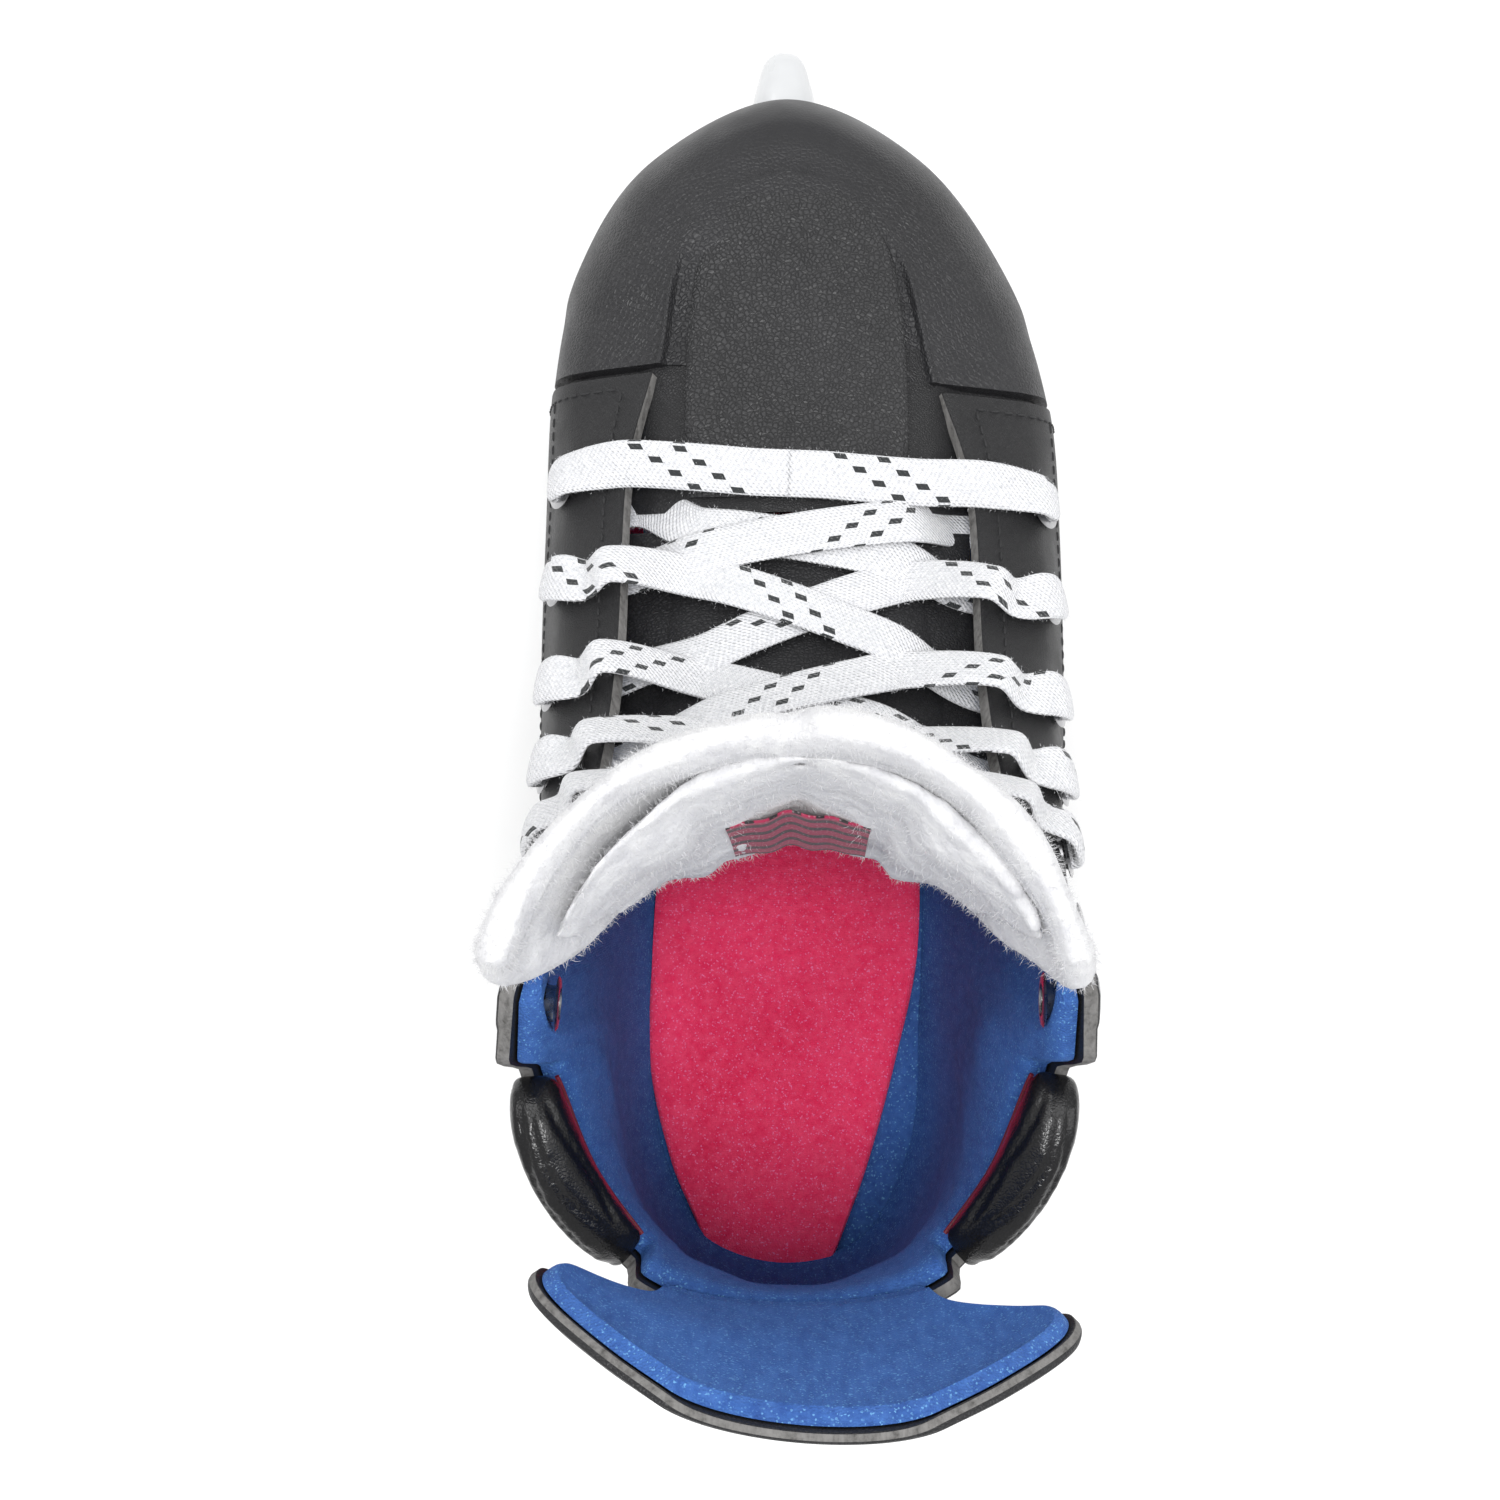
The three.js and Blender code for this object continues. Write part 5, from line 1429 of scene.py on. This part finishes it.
def guard_face(s, q):
    y, half, depth = through([r[0] for r in guard_rows], [r[1:] for r in guard_rows], s).T
    x = half * np.sin(q * guard_sweep) / math.sin(guard_sweep)
    y = y + depth * (1 - np.cos(q * guard_sweep)) / (1 - math.cos(guard_sweep))
    turn = math.radians(-5) * smooth(s / 0.5)
    return np.stack([
        x * np.cos(turn) - y * np.sin(turn),
        guard_seam[1] + x * np.sin(turn) + y * np.cos(turn),
        guard_seam[2] + 0.9 + s * 54,
    ], 1)


def guard_at(s, q, depth):
    s, q, depth = (a.ravel().astype(float) for a in np.broadcast_arrays(s, q, depth))
    step = 0.02
    along = guard_face(np.minimum(s + step, 1), q) - guard_face(s - step, q)
    across = guard_face(s, q + step) - guard_face(s, q - step)
    return guard_face(s, q) - unit(np.cross(across, along)) * depth[:, None]


def guard_roll(s, q):
    top = round_over(1 - s, 0.02)
    side = round_over(1 - np.abs(q), 0.03)
    return np.maximum(top, side)


def tucked(s):
    """1 below the guard's seam, where its skirt is sewn in between the boot's layers."""
    return smooth((0.012 - s) / 0.02)


def guard_outer(s, q):
    return guard_at(s, q, 0.9 * guard_roll(s, q) + 0.75 * tucked(s))


def guard_inner(s, q):
    return guard_at(s, q, 2.4 - 0.3 * guard_roll(s, q) - 0.45 * tucked(s))


s_list = np.concatenate([np.linspace(-0.075, 0.975, 96), np.linspace(0.98, 1, 8)])
q_list = dense_edges(0.965, 0.955, 110, 7)
guard = shell("tendon_guard_skin", guard_outer, guard_inner, s_list, q_list, [guard_black, edge_grey], edge=1)
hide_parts("tendon_guard")
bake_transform(guard)


def lining_at(s, q, depth):
    return guard_at(mix(0.01, 0.975, s), q * 0.965, depth)


def lining_outer(s, q):
    return lining_at(s, q, 2.75 + 0.9 * tucked(s))


def lining_inner(s, q):
    pillow = 0.5 * smooth(1 - np.abs(q)) * np.sin(np.clip(s, 0, 1) * np.pi)
    return lining_at(s, q, 5.5 - 0.6 * tucked(s) + pillow - 1.6 * guard_roll(s, q))


guard_lining = shell("tendon_guard_knit", lining_outer, lining_inner, s_list, q_list, [blue])
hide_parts("tendon_guard_lining")
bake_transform(guard_lining)

# ---------------------------------------------------------------- holder, runner and fasteners
half_rail = 4.4
rail_stations = [
    [-141, 26, 31, 1.4], [-138, 20, 33, 3], [-131, 14.4, 33.5, half_rail - 0.4],
    [-120, 12.5, 33, half_rail], [-95, 12.5, 30.5, half_rail], [-30, 12.5, 29, half_rail],
    [20, 12.5, 29, half_rail],
    [60, 12.5, 31, half_rail + 0.3], [105, 12.5, 38, 5.6], [130, 13.4, 43, 6.8], [145, 16, 42.5, 7.2],
    [151.5, 20.5, 40.5, 5.8], [155.3, 26, 38.5, 4.4], [157.3, 30.5, 36, 2.2],
]


def oval(a, b, power):
    w = np.linspace(0, 2 * np.pi, 49)
    return np.stack([a * np.sign(np.cos(w)) * np.abs(np.cos(w)) ** (2 / power),
                     b * np.sign(np.sin(w)) * np.abs(np.sin(w)) ** (2 / power)], 1)


def rail_rings():
    spans = ((-141, -120, 24), (-118, 128, 60), (130, 157.3, 30))
    ys = np.concatenate([np.linspace(*span) for span in spans])
    rows = through([r[0] for r in rail_stations], [r[1:] for r in rail_stations], ys)
    rings = []
    for y, (low, high, w) in zip(ys, rows):
        section = oval(w, (high - low) / 2, 3.2)
        rings.append(np.stack([section[:, 0], np.full(49, y), (low + high) / 2 + section[:, 1]], 1))
    return np.array(rings)


def pillar_rings(rows, steps=26):
    knots = [r[0] for r in rows]
    zs = np.linspace(knots[0], knots[-1], steps)
    out = []
    for z, (start, stop, w) in zip(zs, through(knots, [r[1:4] for r in rows], zs)):
        section = oval(w, (stop - start) / 2, 2.6)
        out.append(np.stack([section[:, 0], (start + stop) / 2 + section[:, 1], np.full(49, z)], 1))
    return np.array(out)


front_top, rear_top, plate_thickness = 49.65, 59.65, 3.4
holder_forms = [
    rail_rings(),
    pillar_rings([[24, 30, 136, 4.2], [32, 33, 134, 5.6], [38, 31, 128, 9], [43, 26, 118, 15],
                  [front_top - 1, 20, 108, 24]]),
    pillar_rings([[24, -124, -38, 4.2], [34, -120, -44, 5.4], [44, -115, -50, 8.5], [52, -112, -52, 13],
                  [rear_top - 1, -111, -51, 19]]),
    pillar_rings([[front_top - plate_thickness, 16, 107, 33], [front_top, 16, 107, 33]], 5),
    pillar_rings([[rear_top - plate_thickness, -111, -50, 24], [rear_top, -111, -50, 24]], 5),
]
solid = [body("part_of_holder", capped(rings), []) for rings in holder_forms]
joined = bmesh.new()
for piece in solid:
    joined.from_mesh(piece.data)
    bpy.data.objects.remove(piece)
mesh = bpy.data.meshes.new("blade_holder")
joined.to_mesh(mesh)
joined.free()
holder = linked("blade_holder", mesh)
modifier(holder, "REMESH", mode="VOXEL", voxel_size=0.75 * MM, use_smooth_shade=True)
modifier(holder, "SMOOTH", factor=0.5, iterations=6)
bake(holder)
runner_outline = [
    [-46, 0], [56, 0], [92, 0.7], [118, 2.6], [134, 6.4], [144.5, 12.4], [150, 19.5], [151, 23.5],
    [146, 24.5], [-126, 24.5], [-132, 22], [-135.5, 16], [-134, 8.5], [-126, 3.6], [-108, 1.2],
    [-80, 0.3],
]


def slab(name, outline, thickness):
    """A flat piece with its outline in the y-z plane."""
    work = bmesh.new()
    left = [work.verts.new(Vector((-thickness / 2, y, z)) * MM) for y, z in outline]
    right = [work.verts.new(Vector((thickness / 2, y, z)) * MM) for y, z in outline]
    work.faces.new(left)
    work.faces.new(right[::-1])
    for i in range(len(outline)):
        j = (i + 1) % len(outline)
        work.faces.new([left[j], left[i], right[i], right[j]])
    bmesh.ops.recalc_face_normals(work, faces=work.faces)
    mesh = bpy.data.meshes.new(name)
    work.to_mesh(mesh)
    work.free()
    return linked(name, mesh)


slot_outline = [[y + (np.sign(y) * clearance if abs(y) > 100 else 0), z + (clearance if z > 12 else -1)]
                for y, z in runner_outline]
groove = slab("groove", slot_outline, 3.7)
modifier(holder, "BOOLEAN", operation="DIFFERENCE", solver="EXACT", object=groove)
bake(holder)
bpy.data.objects.remove(groove)
under_plate = [(x, y, (rear_top if y < 0 else front_top) - plate_thickness) for x, y in rivet_places]
drilled(holder, [((x, y, 60 if y < 0 else 50), up, 2.3, 22, 22) for x, y in rivet_places] +
        [(place, up, 4.8, 14, 0) for place in under_plate] +
        [((0, y, 50), up, 4.0, 25.5, 40) for _, y in post_places])
holder.data.materials.clear()
holder.data.materials.append(white_plastic)
holder.data.shade_smooth()
holder.data.set_sharp_from_angle(angle=math.radians(42))
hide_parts("holder")
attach(holder, "boot")

# The runner keeps its CAD shape, with its edges eased; the posts, nuts and board keep theirs too.
for node, paint, width in [
    ("runner", steel, 0.25), ("lasting_board", board, 0.4),
    ("runner_post_front", bright_nickel, 0.2), ("runner_post_rear", bright_nickel, 0.2),
    ("runner_nut_front", bright_nickel, 0.35), ("runner_nut_rear", bright_nickel, 0.35),
]:
    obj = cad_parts[node]
    for material_slot in obj.material_slots:
        material_slot.material = paint
    if not obj.material_slots:
        obj.data.materials.append(paint)
    modifier(obj, "BEVEL", width=width * MM, segments=3, limit_method="ANGLE",
             angle_limit=math.radians(40))

for i, (x, y) in enumerate(rivet_places, 1):
    under = (rear_top if y < 0 else front_top) - plate_thickness - clearance
    top = (60 if y < 0 else 50) + 4.6 + clearance + 2.35 + clearance
    profile = [
        (0, under - 1.6), (1.6, under - 1.5), (3.2, under - 1.15), (3.9, under - 0.55), (4, under - 0.2),
        (3.9, under), (2, under), (2, top), (3.5, top), (3.6, top + 0.15), (2.6, top + 0.55), (0, top + 0.9),
    ]
    w = np.linspace(0, 2 * np.pi, 33)
    circle = [np.stack([x + r * np.cos(w), y + r * np.sin(w), np.full(33, z)], 1) for r, z in profile]
    grid = np.array(circle)
    rivet = body(f"rivet_turned_{i}", [(grid, 0)], [nickel], sharp=35)
    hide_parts(f"rivet_{i}")
    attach(rivet, "boot")

# ---------------------------------------------------------------- light and floor
floor_mesh = bpy.data.meshes.new("floor")
floor_mesh.from_pydata([(-4, -4, 0), (4, -4, 0), (4, 4, 0), (-4, 4, 0)], [], [(0, 1, 2, 3)])
floor = linked("floor", floor_mesh)
pale = Paint("pale_floor")
tone = pale.noise(1.5, 2)
floor_mesh.materials.append(pale.finish(
    Base_Color=pale.ramp(tone, (0.3, grey(0.93)), (0.7, grey(0.95))),
    Roughness=0.9,
    Specular_IOR_Level=0.2,
))

scene.world = bpy.data.worlds.new("room")
scene.world.use_nodes = True
background = scene.world.node_tree.nodes["Background"]
background.inputs["Color"].default_value = (1, 1, 1, 1)
background.inputs["Strength"].default_value = 0.62
for name, place, size, power in [
    ("top", (0.0, -0.05, 1.7), 0.5, 17),
    ("key", (-0.55, 0.6, 1.4), 0.9, 6),
    ("fill", (0.75, 0.1, 1.2), 0.8, 4),
]:
    light = linked(name, bpy.data.lights.new(name, "AREA"))
    light.location = place
    light.rotation_euler = (Vector((0, 0, 0.1)) - Vector(place)).to_track_quat("-Z", "Y").to_euler()
    light.data.size = size
    light.data.energy = power
scene.view_settings.view_transform = "Standard"
